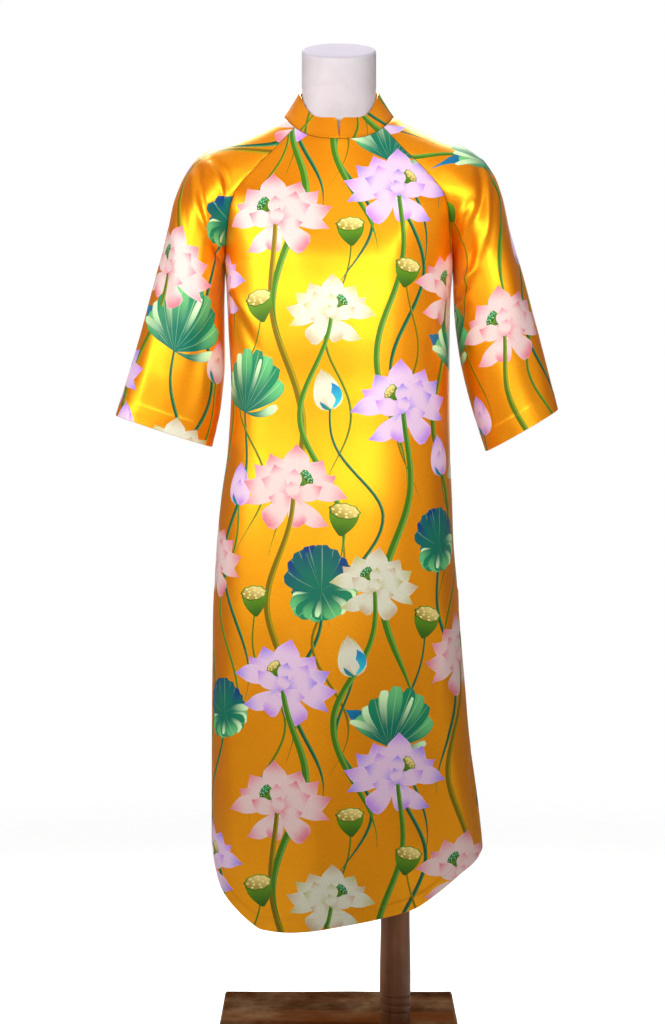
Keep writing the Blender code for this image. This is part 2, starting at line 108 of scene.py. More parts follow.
def turned(degrees: float) -> Array:
    """Matrix that turns a flat point clockwise from straight up by an angle in degrees."""
    angle = math.radians(degrees)
    return np.array([[math.cos(angle), math.sin(angle)], [-math.sin(angle), math.cos(angle)]])


def placed(name: str, data: Any) -> Any:
    """Put a mesh, a light or a camera in the scene as an object."""
    item = bpy.data.objects.new(name, data)
    bpy.context.scene.collection.objects.link(item)
    return item


def smoothed(mesh: Any, sharp: float) -> Any:
    """Shade a mesh smooth except past an angle in degrees."""
    mesh.shade_smooth()
    mesh.set_sharp_from_angle(angle=math.radians(sharp))
    return mesh


def plain_mesh(name: str, points: Sequence[Any], faces: Sequence[Any], look: Any, sharp: float) -> Any:
    """Make an object from points and faces.

    Args:
        name: The object's name.
        points: Its points.
        faces: Its faces, as numbers of points.
        look: Its material.
        sharp: Angle in degrees past which an edge is sharp.

    Returns:
        The object.
    """
    mesh = bpy.data.meshes.new(name)
    mesh.from_pydata(points, [], faces)
    mesh.update()
    smoothed(mesh, sharp).materials.append(look)
    return placed(name, mesh)


class Curve:
    """Smooth curve through a column of a table, which never overshoots its points."""

    def __init__(self, table: Sequence[Sequence[float]], column: int = 1) -> None:
        """Read the table.

        Args:
            table: Rows whose first number is the key, in rising order.
            column: The column that holds the values.
        """
        self.keys = np.array([row[0] for row in table])
        self.values = np.array([row[column] for row in table])
        slopes = np.diff(self.values) / np.diff(self.keys)
        product = slopes[:-1] * slopes[1:]
        total = np.where(product > 0.0, slopes[:-1] + slopes[1:], 1.0)
        inner = np.where(product > 0.0, 2.0 * product / total, 0.0)
        self.tangents = np.concatenate([slopes[:1], inner, slopes[-1:]])

    def __call__(self, key: Any) -> Any:
        """Read the curve.

        Args:
            key: A key or an array of keys.

        Returns:
            The values, held level past the curve's ends.
        """
        key = np.clip(np.asarray(key, dtype=float), self.keys[0], self.keys[-1])
        i = np.clip(np.searchsorted(self.keys, key, side="right") - 1, 0, len(self.keys) - 2)
        width = self.keys[i + 1] - self.keys[i]
        u = (key - self.keys[i]) / width
        return ((1 + 2 * u) * (1 - u) ** 2 * self.values[i]
                + u * (1 - u) ** 2 * width * self.tangents[i]
                + u * u * (3 - 2 * u) * self.values[i + 1]
                + u * u * (u - 1) * width * self.tangents[i + 1])


# ---- node trees ----
def math_node(operation: str, flipped: bool = False) -> Callable[..., "Term"]:
    """Make a method of Term.

    Args:
        operation: The Math node that it adds.
        flipped: True where the other value comes first.

    Returns:
        The method.
    """
    def apply(term: "Term", other: Any = 0.0) -> "Term":
        """Add the node."""
        first, second = (other, term) if flipped else (term, other)
        return Term(term.tree, term.tree.made("ShaderNodeMath", {0: first, 1: second}, operation=operation))

    return apply


class Term:
    """A socket in an expression: arithmetic on it adds Math nodes."""

    __add__ = __radd__ = math_node("ADD")
    __sub__, __rsub__ = math_node("SUBTRACT"), math_node("SUBTRACT", True)
    __mul__ = __rmul__ = math_node("MULTIPLY")
    __abs__, wave, greatest = math_node("ABSOLUTE"), math_node("SINE"), math_node("MAXIMUM")

    def __init__(self, tree: "Tree", socket: Any) -> None:
        """Wrap a socket of a tree."""
        self.tree, self.socket = tree, socket

    def between(self, low: Any, high: Any, start: Any = 0.0, end: Any = 1.0) -> "Term":
        """Go from start to end as the value goes from low to high, with level ends."""
        return Term(self.tree, self.tree.made("ShaderNodeMapRange", {
            "Value": self, "From Min": low, "From Max": high, "To Min": start, "To Max": end,
        }, interpolation_type="SMOOTHSTEP"))

    def near(self, middle: float, reach: float = 0.5) -> "Term":
        """1 at a value and 0 from a reach on either side of it."""
        return 1.0 - abs(self - middle).between(0.0, reach)


class Tree:
    """A node tree: one method adds any node, and another feeds any socket."""

    def __init__(self, tree: Any) -> None:
        """Take the tree that the nodes go into."""
        self.tree = tree

    def node(self, kind: str, sockets: dict[Any, Any] | None = None, **settings: Any) -> Any:
        """Add a node, set its settings first, and then give its sockets values or links.

        Args:
            kind: The node's type.
            sockets: Values, terms or sockets by the input's name or number.
            **settings: Properties of the node, such as an operation.

        Returns:
            The node.
        """
        node = self.tree.nodes.new(kind)
        for key, value in settings.items():
            setattr(node, key, value)
        for key, value in (sockets or {}).items():
            self.feed(node.inputs[key], value)
        return node

    def made(self, kind: str, sockets: dict[Any, Any] | None = None, **settings: Any) -> Any:
        """Add a node and return its first output."""
        return self.node(kind, sockets, **settings).outputs[0]

    def feed(self, target: Any, value: Any) -> None:
        """Link a term or socket to an input, or set the input's value.

        Args:
            target: The input.
            value: The term, socket or value; a colour may come without its alpha.
        """
        value = value.socket if isinstance(value, Term) else value
        if isinstance(value, bpy.types.NodeSocket):
            self.tree.links.new(value, target)
        elif isinstance(value, tuple) and len(value) == 3 and target.type == "RGBA":
            target.default_value = (*value, 1.0)
        else:
            target.default_value = value

    def parts(self, vector: Any) -> tuple[Term, Term, Term]:
        """The three numbers of a vector."""
        x, y, z = self.node("ShaderNodeSeparateXYZ", {0: vector}).outputs
        return Term(self, x), Term(self, y), Term(self, z)


class Bench(Tree):
    """A material's node tree, with a few methods for what recurs."""

    def __init__(self, name: str) -> None:
        """Start a material of that name with a Principled shader."""
        self.material = bpy.data.materials.new(name)
        self.material.use_nodes = True
        super().__init__(self.material.node_tree)
        self.shader = self.tree.nodes["Principled BSDF"]

    def attribute(self, name: str, output: str) -> Any:
        """Output of a mesh attribute."""
        return self.node("ShaderNodeAttribute", attribute_name=name).outputs[output]

    def place(self) -> Any:
        """Object coordinates."""
        return self.node("ShaderNodeTexCoord").outputs["Object"]

    def noise(self, vector: Any, scale: float, detail: float = 3.0, rough: float = 0.5,
              stretch: Spot = (1.0, 1.0, 1.0)) -> Term:
        """Make noise from 0 to 1.

        Args:
            vector: The coordinates that it reads.
            scale: Its scale.
            detail: Its detail.
            rough: Its roughness.
            stretch: Scale of the coordinates on each axis.

        Returns:
            The noise.
        """
        mapped = self.made("ShaderNodeMapping", {"Vector": vector, "Scale": stretch})
        return Term(self, self.made("ShaderNodeTexNoise", {
            "Vector": mapped, "Scale": scale, "Detail": detail, "Roughness": rough}))

    def blend(self, amount: Any, first: Any, second: Any) -> Any:
        """Mix two colours by an amount from 0 to 1."""
        return self.node("ShaderNodeMix", {0: amount, 6: first, 7: second}, data_type="RGBA").outputs[2]

    def shaded(self, colour: Any, light: Any) -> Any:
        """Multiply a colour by a number."""
        return self.made("ShaderNodeVectorMath", {0: colour, "Scale": light}, operation="SCALE")

    def relief(self, height: Any, depth: float, strength: float, **under: Any) -> Any:
        """Normal of a height from 0 to 1 over a depth in metres, on the normal of what is under it."""
        return self.made("ShaderNodeBump", {"Strength": strength, "Distance": depth, "Height": height, **under})

    def finish(self, **sockets: Any) -> Any:
        """Give the Principled shader its values and links.

        Args:
            **sockets: Values by the socket's name, with underscores for spaces.

        Returns:
            The material.
        """
        for key, value in sockets.items():
            self.feed(self.shader.inputs[key.replace("_", " ")], value)
        return self.material

    def lay_over(self, share: Any, **sockets: Any) -> None:
        """Mix a second Principled shader over the first.

        Args:
            share: How much of it shows, from 0 to 1.
            **sockets: Its values by the socket's name, with underscores for spaces.
        """
        values = {key.replace("_", " "): value for key, value in sockets.items()}
        upper = self.made("ShaderNodeBsdfPrincipled", values)
        mixed = self.made("ShaderNodeMixShader", {0: share, 1: self.shader.outputs[0], 2: upper})
        self.feed(self.tree.nodes["Material Output"].inputs["Surface"], mixed)


class Recipe(Tree):
    """A Geometry Nodes tree with named inputs that ends in Realize Instances and Set Material."""

    def __init__(self, name: str, sizes: dict[str, Any], seed: Any, look: Any) -> None:
        """Start a tree.

        Args:
            name: Name of what it makes.
            sizes: Its inputs by name, whole numbers as int and others as float.
            seed: The mesh that it starts from.
            look: The material of what it makes.
        """
        super().__init__(bpy.data.node_groups.new(name + "_recipe", "GeometryNodeTree"))
        self.name, self.sizes, self.seed, self.look = name, sizes, seed, look
        face = self.tree.interface
        face.new_socket("Geometry", in_out="INPUT", socket_type="NodeSocketGeometry")
        for key, value in sizes.items():
            kind = "NodeSocketInt" if isinstance(value, int) else "NodeSocketFloat"
            face.new_socket(key, in_out="INPUT", socket_type=kind)
        face.new_socket("Geometry", in_out="OUTPUT", socket_type="NodeSocketGeometry")
        self.given = self.node("NodeGroupInput").outputs
        self.result = self.node("NodeGroupOutput")
        self.path = self.made("GeometryNodeMeshToCurve", {"Mesh": self.given["Geometry"]})

    def grow(self, geometry: Any) -> Any:
        """Realize a geometry, dress it, and run the tree on its seed.

        Args:
            geometry: The socket that gives the geometry.

        Returns:
            The plain object that the tree makes, with no modifier left on it.
        """
        real = self.made("GeometryNodeRealizeInstances", {0: geometry})
        dressed = self.made("GeometryNodeSetMaterial", {"Geometry": real, "Material": self.look})
        self.feed(self.result.inputs[0], dressed)
        holder = placed(self.name + "_seed", self.seed)
        modifier = holder.modifiers.new("recipe", "NODES")
        modifier.node_group = self.tree
        for item in self.tree.interface.items_tree:
            if item.in_out == "INPUT" and item.name in self.sizes:
                modifier[item.identifier] = self.sizes[item.name]
        graph = bpy.context.evaluated_depsgraph_get()
        mesh = bpy.data.meshes.new_from_object(holder.evaluated_get(graph), depsgraph=graph)
        mesh.name = self.name
        bpy.data.objects.remove(holder, do_unlink=True)
        return placed(self.name, mesh)


# ---- sizes that the solids have too ----
CLOTH, COLLAR_CLOTH, SEAM = 0.0016, 0.0022, 0.00015
COLLAR_NOTCH = 0.0040
RAGLAN_FRONT_ANGLE, RAGLAN_BACK_ANGLE = 52.8, 130.0
ARMPIT_Z, SLIT_TOP_Z, SLIT_OPENING = 1.1000, 0.6450, 0.16
SLIT_SPREAD, BACK_TUCK = 0.0070, 0.0090
HEM_MEAN_Z, HEM_BLEND, SKIRT_FULLNESS = 0.2200, 0.55, 0.85
NECK_FADE, NECK_DROP_SHAPE = 0.4, 1.5

BASE_SIZE, BASE_EDGE = (0.3410, 0.3400, 0.0220), 0.0030
POST_X, POST_TOP_RADIUS, POST_FOOT_RADIUS = 0.0800, 0.0204, 0.0219
GROOVE_DEPTH, GROOVE_HALF_WIDTH = 0.0016, 0.0026
GROOVE_HEIGHTS = (0.0463, 0.0570, 0.0678)
JOINT_GAP = 0.0003
FORM_BOTTOM_Z, FORM_NECK_RADIUS, FORM_CAP_Z, FORM_CAP_SLOPE = 0.6650, 0.0515, 1.3950, 0.36
REST_GAP, LOOSE_GAP = 0.0005, 0.0040


class Side(Enum):
    """Left or right as seen from the front, with the sign of its x."""

    LEFT = -1
    RIGHT = 1


class Face(Enum):
    """The front or the back of the body, with the sign of its y."""

    FRONT = -1
    BACK = 1


# run, seam x, seam z, shoulder line x, shoulder line z, half depth, seam angle, rise to the back
YOKE = (
    (0.0, 0.0605, 1.2832, 0.0757, 1.3012, 0.0438, 70.0, 0.0127),
    (0.125, 0.088, 1.253, 0.1, 1.29, 0.056, 76.0, 0.01),
    (0.25, 0.1155, 1.2245, 0.1325, 1.277, 0.066, 84.0, 0.006),
    (0.375, 0.1335, 1.204, 0.164, 1.266, 0.0715, 94.0, 0.003),
    (0.5, 0.1433, 1.187, 0.1855, 1.2533, 0.074, 106.0, 0.001),
    (0.625, 0.1487, 1.17, 0.2025, 1.2385, 0.0748, 120.0, 0.0),
    (0.75, 0.1518, 1.152, 0.2145, 1.22, 0.0745, 137.0, 0.0),
    (0.875, 0.1555, 1.127, 0.2262, 1.193, 0.073, 158.0, 0.0),
    (1.0, 0.1585, 1.1, 0.236, 1.152, 0.07, 180.0, 0.0),
)
# run, underarm x, underarm z, outer x, outer z, half depth
TUBES = {
    Side.LEFT: (
        (0.0, 0.1585, 1.1, 0.236, 1.152, 0.07), (0.25, 0.16, 1.035, 0.257, 1.076, 0.064),
        (0.5, 0.1595, 0.97, 0.2765, 1.004, 0.056), (0.75, 0.165, 0.905, 0.296, 0.94, 0.048),
        (1.0, 0.178, 0.8464, 0.3117, 0.8903, 0.042),
    ),
    Side.RIGHT: (
        (0.0, 0.1585, 1.1, 0.236, 1.152, 0.07), (0.25, 0.161, 1.035, 0.256, 1.09, 0.064),
        (0.5, 0.168, 0.976, 0.273, 1.024, 0.056), (0.75, 0.184, 0.908, 0.2905, 0.958, 0.048),
        (1.0, 0.2059, 0.8404, 0.306, 0.8983, 0.042),
    ),
}
# height, half width on the left, half width on the right
SIDES = (
    (0.2, 0.179, 0.203), (0.279, 0.179, 0.2), (0.347, 0.1787, 0.193), (0.393, 0.1785, 0.187),
    (0.446, 0.178, 0.1805), (0.502, 0.1772, 0.1762), (0.556, 0.1762, 0.172), (0.61, 0.1755, 0.168),
    (0.651, 0.1738, 0.1655), (0.715, 0.17, 0.16), (0.774, 0.1642, 0.158), (0.845, 0.1545, 0.155),
    (0.931, 0.15, 0.154), (1.006, 0.1535, 0.154), (1.05, 0.1553, 0.155), (1.1, 0.1585, 0.1585),
)
# height, y on the centre line
DEPTH = {
    Face.FRONT: (
        (0.2, -0.105), (0.35, -0.107), (0.5, -0.11), (0.65, -0.112), (0.75, -0.112), (0.85, -0.11),
        (0.93, -0.113), (1.0, -0.119), (1.05, -0.1215), (1.1, -0.118), (1.15, -0.1085), (1.2, -0.0945),
        (1.24, -0.08), (1.265, -0.07),
    ),
    Face.BACK: (
        (0.2, 0.103), (0.4, 0.106), (0.6, 0.11), (0.7, 0.11), (0.78, 0.105), (0.88, 0.096), (0.95, 0.097),
        (1.05, 0.106), (1.12, 0.108), (1.2, 0.099), (1.27, 0.078), (1.312, 0.062),
    ),
}
# place from the left corner to the right corner, height
HEM = {
    Face.FRONT: (
        (-1.0, 0.3), (-0.97, 0.266), (-0.91, 0.233), (-0.8, 0.2095), (-0.7, 0.1945), (-0.6, 0.1845),
        (-0.44, 0.1828), (-0.25, 0.1858), (0.0, 0.1935), (0.27, 0.2028), (0.5, 0.214), (0.68, 0.2345),
        (0.85, 0.2586), (0.94, 0.2706), (1.0, 0.285),
    ),
    Face.BACK: (
        (-1.0, 0.295), (-0.88, 0.245), (-0.6, 0.208), (0.0, 0.198), (0.6, 0.208), (0.88, 0.245), (1.0, 0.295),
    ),
}
# height, half width, front y, back y
FORM = (
    (0.665, 0.148, -0.095, 0.095), (0.69, 0.154, -0.1, 0.099), (0.75, 0.15, -0.099, 0.096),
    (0.82, 0.136, -0.093, 0.085), (0.9, 0.128, -0.093, 0.081), (0.97, 0.136, -0.102, 0.088),
    (1.04, 0.144, -0.112, 0.095), (1.1, 0.148, -0.108, 0.098), (1.15, 0.156, -0.096, 0.096),
    (1.185, 0.17, -0.084, 0.088), (1.21, 0.18, -0.076, 0.08), (1.228, 0.185, -0.07, 0.074),
    (1.242, 0.185, -0.066, 0.07), (1.252, 0.183, -0.063, 0.068), (1.26, 0.176, -0.06, 0.067),
    (1.267, 0.164, -0.058, 0.066), (1.274, 0.144, -0.05, 0.064), (1.281, 0.122, -0.046, 0.061),
    (1.288, 0.098, -0.042, 0.056), (1.295, 0.078, -0.042, 0.053), (1.301, 0.064, -0.044, 0.0515),
    (1.308, 0.0565, -0.0475, 0.051), (1.32, 0.0525, -0.0505, 0.051), (1.34, 0.0508, -0.0508, 0.0508),
)


# ---- the garment's surface ----
@dataclass(frozen=True)
class NeckRing:
    """A closed line round the neck, with its sizes in metres."""

    half_width: float
    half_depth: float
    centre_y: float
    front_z: float
    side_z: float
    back_z: float
    power: int

    def points(self, angle: Array) -> Array:
        """Points of the line.

        Args:
            angle: Angles in degrees round from the front, +X first.

        Returns:
            The points, with their three numbers last.
        """
        turn = np.radians(angle)
        middle = np.where(np.cos(turn) > 0.0, self.front_z, self.back_z)
        rise = (self.side_z - middle) * np.abs(np.sin(turn)) ** self.power
        return np.stack([self.half_width * np.sin(turn), self.centre_y - self.half_depth * np.cos(turn),
                         middle + rise], axis=-1)


NECKLINE = NeckRing(0.0760, 0.0660, -0.0040, 1.2650, 1.3010, 1.3120, 3)
COLLAR_EDGE = NeckRing(0.0548, 0.0555, 0.0005, 1.2950, 1.3360, 1.3460, 5)


def sleeve_section(side: Side, run: Array) -> tuple[Array, Array, Array, Array]:
    """Sections of a sleeve; run 0 to 1 is the yoke and 1 to 2 is the tube.

    Args:
        side: Which sleeve.
        run: How far down the sleeve, any shape.

    Returns:
        Each section's centre, its radius towards the shoulder line, its radius towards the back,
        and the angle in radians at which it ends.
    """
    yoke = [Curve(YOKE, column)(np.minimum(run, 1.0)) for column in range(1, 8)]
    tube = [Curve(TUBES[side], column)(run - 1.0) for column in range(1, 6)]
    below = run > 1.0
    end = np.where(below, math.pi, np.radians(yoke[5]))
    rise = np.where(below, 0.0, yoke[6])
    yoke[1] = yoke[1] + rise * np.sin(end)
    seam_x, seam_z, top_x, top_z, depth = (np.where(below, low, high) for low, high in zip(tube, yoke))
    zero = np.zeros_like(depth)
    middle = np.stack([side.value * seam_x, zero, seam_z], axis=-1)
    top = np.stack([side.value * top_x, zero, top_z], axis=-1)
    across = (top - middle) / (1.0 - np.cos(end))[..., None]
    return top - across, across, np.stack([zero, depth, rise], axis=-1), end


def on_section(side: Side, run: Array, place: Array) -> Array:
    """Points of a sleeve's sections at places from -1 to 1 round them."""
    centre, across, along, end = sleeve_section(side, run)
    turn = (place * end)[..., None]
    return centre + across * np.cos(turn) + along * np.sin(turn)


def sleeve_points(side: Side, run: Array, place: Array) -> Array:
    """Points of a sleeve.

    Args:
        side: Which sleeve.
        run: How far down, 0 to 2.
        place: From -1 on the front seam over the shoulder line to 1 on the back, broadcast with run.

    Returns:
        The points, with their three numbers last.
    """
    run, place = np.broadcast_arrays(np.asarray(run, dtype=float), np.asarray(place, dtype=float))
    fade = (np.maximum(0.0, 1.0 - run / NECK_FADE) ** 2)[..., None]
    span = 0.5 * (RAGLAN_BACK_ANGLE - RAGLAN_FRONT_ANGLE)
    angle = RAGLAN_FRONT_ANGLE + span * (place + 1.0)
    start = on_section(side, np.zeros_like(run), place)
    return on_section(side, run, place) + (NECKLINE.points(side.value * angle) - start) * fade


def arc_across(left: Array, right: Array, centre_y: Array, end_angle: Any,
               fullness: Any, place: Array) -> tuple[Array, Array, Array]:
    """Plan of a row between two side points, bowed forwards or back to centre_y.

    Args:
        left: Side points on the left, with their numbers last.
        right: Side points on the right.
        centre_y: Depth on the centre line.
        end_angle: Angle in radians that the row's ends stand for.
        fullness: Below 1 for a row that is flatter in the middle than an ellipse.
        place: -1 at the left end to 1 at the right.

    Returns:
        The row's x, its y, and how far each point is from the centre line, 0 to 1.
    """
    end = np.where((place > 0.0)[..., None], right, left)
    turn = place * end_angle
    reach = np.abs(np.sin(turn)) / np.sin(end_angle)
    bow = np.maximum(0.0, (np.cos(turn) - np.cos(end_angle)) / (1.0 - np.cos(end_angle)))
    return end[..., 0] * reach, end[..., 1] + (centre_y - end[..., 1]) * bow ** fullness, reach


def yoke_points(face: Face, run: Array, place: Array) -> Array:
    """Points of the front or back between its two raglan seams.

    Args:
        face: Which one.
        run: 0 at the neck to 1 at the armpits.
        place: -1 at the left seam to 1 at the right, broadcast with run.

    Returns:
        The points, with their three numbers last.
    """
    run, place = np.broadcast_arrays(run, place)
    front = face is Face.FRONT
    left, right = (sleeve_points(side, run, np.full(run.shape, float(face.value))) for side in Side)
    start = RAGLAN_FRONT_ANGLE if front else 180.0 - RAGLAN_BACK_ANGLE
    opened = np.where(run > 0.0, start + (90.0 - start) * ease(run, -0.2, 1.0), start)
    seam_z = sleeve_points(Side.RIGHT, np.zeros(1), np.full(1, float(face.value)))[0, 2]
    drop = (NECKLINE.front_z if front else NECKLINE.back_z) - seam_z
    middle = right[..., 2] + drop * (1.0 - run) ** NECK_DROP_SHAPE
    fullness = 1.0 + (SKIRT_FULLNESS - 1.0) * run ** 3
    x, y, reach = arc_across(left, right, Curve(DEPTH[face])(middle), np.radians(opened), fullness, place)
    return np.stack([x, y, middle + (right[..., 2] - middle) * reach ** 3], axis=-1)


def skirt_points(face: Face, run: Array, place: Array) -> Array:
    """Points of the front or back below the armpits.

    Args:
        face: Which one.
        run: 0 at the armpits to 1 at the hem.
        place: -1 at the left side to 1 at the right, broadcast with run.

    Returns:
        The points, with their three numbers last.
    """
    run, place = np.broadcast_arrays(run, place)
    level = ARMPIT_Z + (HEM_MEAN_Z - ARMPIT_Z) * run
    hem = Curve(HEM[face])(np.sin(place * math.pi / 2))
    height = level + (hem - HEM_MEAN_Z) * ease(run, HEM_BLEND, 1.0)
    free = ease(SLIT_TOP_Z - height, 0.0, SLIT_OPENING)
    edge_y = SLIT_SPREAD * free * face.value
    tuck = 0.0 if face is Face.FRONT else BACK_TUCK * free
    left = np.stack([tuck - Curve(SIDES, 1)(height), edge_y, height], axis=-1)
    right = np.stack([Curve(SIDES, 2)(height) - tuck, edge_y, height], axis=-1)
    x, y, _ = arc_across(left, right, Curve(DEPTH[face])(height), math.pi / 2, SKIRT_FULLNESS, place)
    return np.stack([x, y, height], axis=-1)


# ---- the print ----
class Dye(Enum):
    """How a printed shape is coloured between its two colours; 0 is the plain ground."""

    PETAL = 1
    LEAF = 2
    STEM = 3
    PLAIN = 4


@dataclass
class Ink:
    """One printed shape: its outline, the line that its colours follow, and the colours."""

    outline: Array
    spine: Array
    half: Array
    dye: Dye
    root: Colour
    tip: Colour

    def moved(self, matrix: Array, shift: Any) -> "Ink":
        """The same shape turned and scaled by a matrix, and then shifted."""
        scale = math.sqrt(abs(float(np.linalg.det(matrix))))
        return Ink(self.outline @ matrix.T + shift, self.spine @ matrix.T + shift, self.half * scale,
                   self.dye, self.root, self.tip)

    def first(self, count: int) -> "Ink":
        """The upper end of a stem, as far as a number of its points."""
        outline = np.concatenate([self.outline[:count], self.outline[-count:]])
        return Ink(outline, self.spine[:count], self.half[:count], self.dye, self.root, self.tip)

    def coordinates(self, points: Array) -> tuple[Array, Array]:
        """Place of points along and across the spine.

        Args:
            points: Flat points, one a row.

        Returns:
            How far along, 0 to 1, and how far across, -1 to 1 at the shape's edges.
        """
        start, step = self.spine[:-1], np.diff(self.spine, axis=0)
        square = np.maximum((step ** 2).sum(axis=1), 1e-12)
        offset = points[:, None, :] - start[None]
        along = np.clip((offset * step).sum(axis=2) / square, 0.0, 1.0)
        away = offset - along[..., None] * step
        distance = np.linalg.norm(away, axis=2)
        nearest, row = distance.argmin(axis=1), np.arange(len(points))
        length = np.concatenate([[0.0], np.cumsum(np.sqrt(square))])
        t = (length[nearest] + along[row, nearest] * np.sqrt(square)[nearest]) / length[-1]
        side = np.sign(cross(step[nearest], away[row, nearest])) * distance[row, nearest]
        half = np.interp(t, np.linspace(0.0, 1.0, len(self.half)), self.half)
        return t, np.clip(side / np.maximum(half, 1e-6), -1.0, 1.0)


PETAL_WIDTHS = Curve(((0.0, 0.14), (0.15, 0.46), (0.35, 0.85), (0.55, 1.0), (0.70, 0.90), (0.82, 0.58),
                      (0.92, 0.22), (1.0, 0.0)))
TORN_WIDTHS = Curve(((0.0, 0.14), (0.2, 0.48), (0.5, 0.84), (0.8, 1.0), (0.93, 0.94), (1.0, 0.52)))
BUD_WIDTHS = Curve(((0.0, 0.36), (0.12, 0.80), (0.3, 1.0), (0.5, 0.86), (0.7, 0.55), (0.85, 0.30),
                    (0.95, 0.12), (1.0, 0.0)))
FAN_WIDTHS = Curve(((0.0, 0.05), (0.25, 0.40), (0.5, 0.74), (0.75, 0.98), (0.9, 0.90), (1.0, 0.52)))
CUP_WIDTHS = Curve(((0.0, 0.10), (0.3, 0.56), (0.7, 0.92), (1.0, 1.0)))


@dataclass(frozen=True)
class Tint:
    """Colours of one kind of flower: a petal's pale, its deep, a second deep, and a bud's side."""

    pale: Colour
    deep: Colour
    other: Colour
    side: Colour


class Flower(Enum):
    """The three colours in which the blossoms and buds are printed."""

    LILAC = Tint(srgb(232, 200, 230), srgb(198, 138, 232), srgb(162, 128, 236), srgb(186, 112, 220))
    PINK = Tint(srgb(234, 202, 199), srgb(226, 118, 140), srgb(232, 138, 160), srgb(230, 128, 154))
    WHITE = Tint(srgb(222, 220, 198), srgb(202, 178, 140), srgb(192, 188, 118), srgb(16, 132, 190))


LEAF_DEEP, LEAF_DARK = srgb(4, 112, 92), srgb(20, 138, 92)
LEAF_MID, LEAF_PALE = srgb(104, 196, 122), srgb(214, 248, 190)
NAVY, BLUE, CYAN, UNDER = srgb(6, 56, 124), srgb(16, 118, 160), srgb(40, 196, 208), srgb(4, 92, 104)
POD_GREEN, POD_DARK = srgb(92, 142, 26), srgb(48, 96, 22)
SEED, SEED_DARK, SEED_PALE = srgb(238, 214, 132), srgb(168, 146, 60), srgb(246, 236, 150)
PEARL: Colour = (0.9, 0.9, 0.9)


class StemTone(Enum):
    """Two tones of a printed stem: the broad one and the lit edge."""

    BRIGHT = (srgb(62, 118, 24), srgb(108, 160, 60))
    OLIVE = (srgb(122, 100, 6), srgb(168, 146, 18))
    DARK = (srgb(10, 84, 58), srgb(58, 142, 84))
    MOSS = (srgb(82, 106, 16), srgb(134, 158, 36))


def stroke(spine: Array, half: Array, dye: Dye, first: Colour, last: Colour) -> Ink:
    """Make a shape of a line and its width.

    Args:
        spine: The line.
        half: Half its width at each point; the shape ends in a point where the last is 0.
        dye: How it is coloured.
        first: The colour of its middle or root.
        last: The colour of its tip.

    Returns:
        The shape.
    """
    side = unit(np.gradient(spine, axis=0)[:, ::-1] * np.array([-1.0, 1.0])) * half[:, None]
    back = (spine - side)[::-1]
    back = back[1:] if half[-1] < 1e-9 else back
    return Ink(np.concatenate([spine + side, back]), spine, half, dye, first, last)


def blade(root: Sequence[float], tip: Sequence[float], width: float, bend: float, dye: Dye, first: Colour,
          last: Colour, widths: Curve = PETAL_WIDTHS, steps: int = 9) -> Ink:
    """A petal-like shape along a bent midrib.

    Args:
        root: Where it starts.
        tip: Where it ends.
        width: Its greatest half width.
        bend: How far its middle is pushed to its left, as a share of its length.
        dye: How it is coloured.
        first: The colour of its middle or root.
        last: The colour of its tip.
        widths: Share of the half width along its length.
        steps: Number of points on each side.

    Returns:
        The shape.
    """
    root, tip = np.array(root, dtype=float), np.array(tip, dtype=float)
    t = np.linspace(0.0, 1.0, steps)
    middle = 0.5 * (root + tip) + np.array([-(tip - root)[1], (tip - root)[0]]) * bend
    spine = ((1 - t) ** 2)[:, None] * root + (2 * t * (1 - t))[:, None] * middle + (t ** 2)[:, None] * tip
    return stroke(spine, width * widths(t), dye, first, last)


def circle(count: int) -> Array:
    """Angles of evenly spaced points round a circle."""
    return np.linspace(0.0, FULL_TURN, count, endpoint=False)


def ring(centre: Sequence[float], radii: Sequence[float], sides: int, first: Colour, last: Colour) -> Ink:
    """A plain oval, shaded from below upwards."""
    turn = circle(sides)
    points = np.stack([radii[0] * np.sin(turn), radii[1] * np.cos(turn)], axis=1)
    spine = np.array([[0.0, -radii[1]], [0.0, radii[1]]])
    return Ink(points + centre, spine + centre, np.full(2, radii[0]), Dye.PLAIN, first, last)


def pod_shapes(size: float, at: Sequence[float], tilt: float, green: bool = False) -> list[Ink]:
    """A seed pod: a cup, a scalloped flat top and its seeds.

    Args:
        size: Its size.
        at: Where it is.
        tilt: How far it leans, in degrees.
        green: True for an unripe top.

    Returns:
        The shapes, lowest first.
    """
    made = [blade((0.0, -0.55), (0.0, 0.24), 0.52, 0.0, Dye.PLAIN, POD_DARK, POD_GREEN, CUP_WIDTHS, 7)]
    turn = circle(36)
    low, high, dot = (POD_DARK, LEAF_DARK, LEAF_PALE) if green else (SEED_DARK, SEED, SEED_PALE)
    for reach, dark, light in ((1.0, POD_DARK, POD_GREEN), (0.88, low, high)):
        radius = reach * (1.0 + 0.06 * np.cos(9.0 * turn))
        top = np.stack([0.54 * radius * np.sin(turn), 0.30 + 0.27 * radius * np.cos(turn)], axis=1)
        made.append(Ink(top, np.array([[-0.1, 0.06], [0.1, 0.54]]), np.full(2, 0.4), Dye.PLAIN, dark, light))
    for count, across, up in ((7, 0.40, 0.19), (5, 0.20, 0.09)):
        for i in range(count):
            turn_at = FULL_TURN * (i + 0.25) / count
            seed = (across * math.sin(turn_at), 0.30 + up * math.cos(turn_at))
            made.append(ring(seed, (0.056, 0.040), 7, high, dot))
    return [ink.moved(turned(tilt) * size, at) for ink in made]


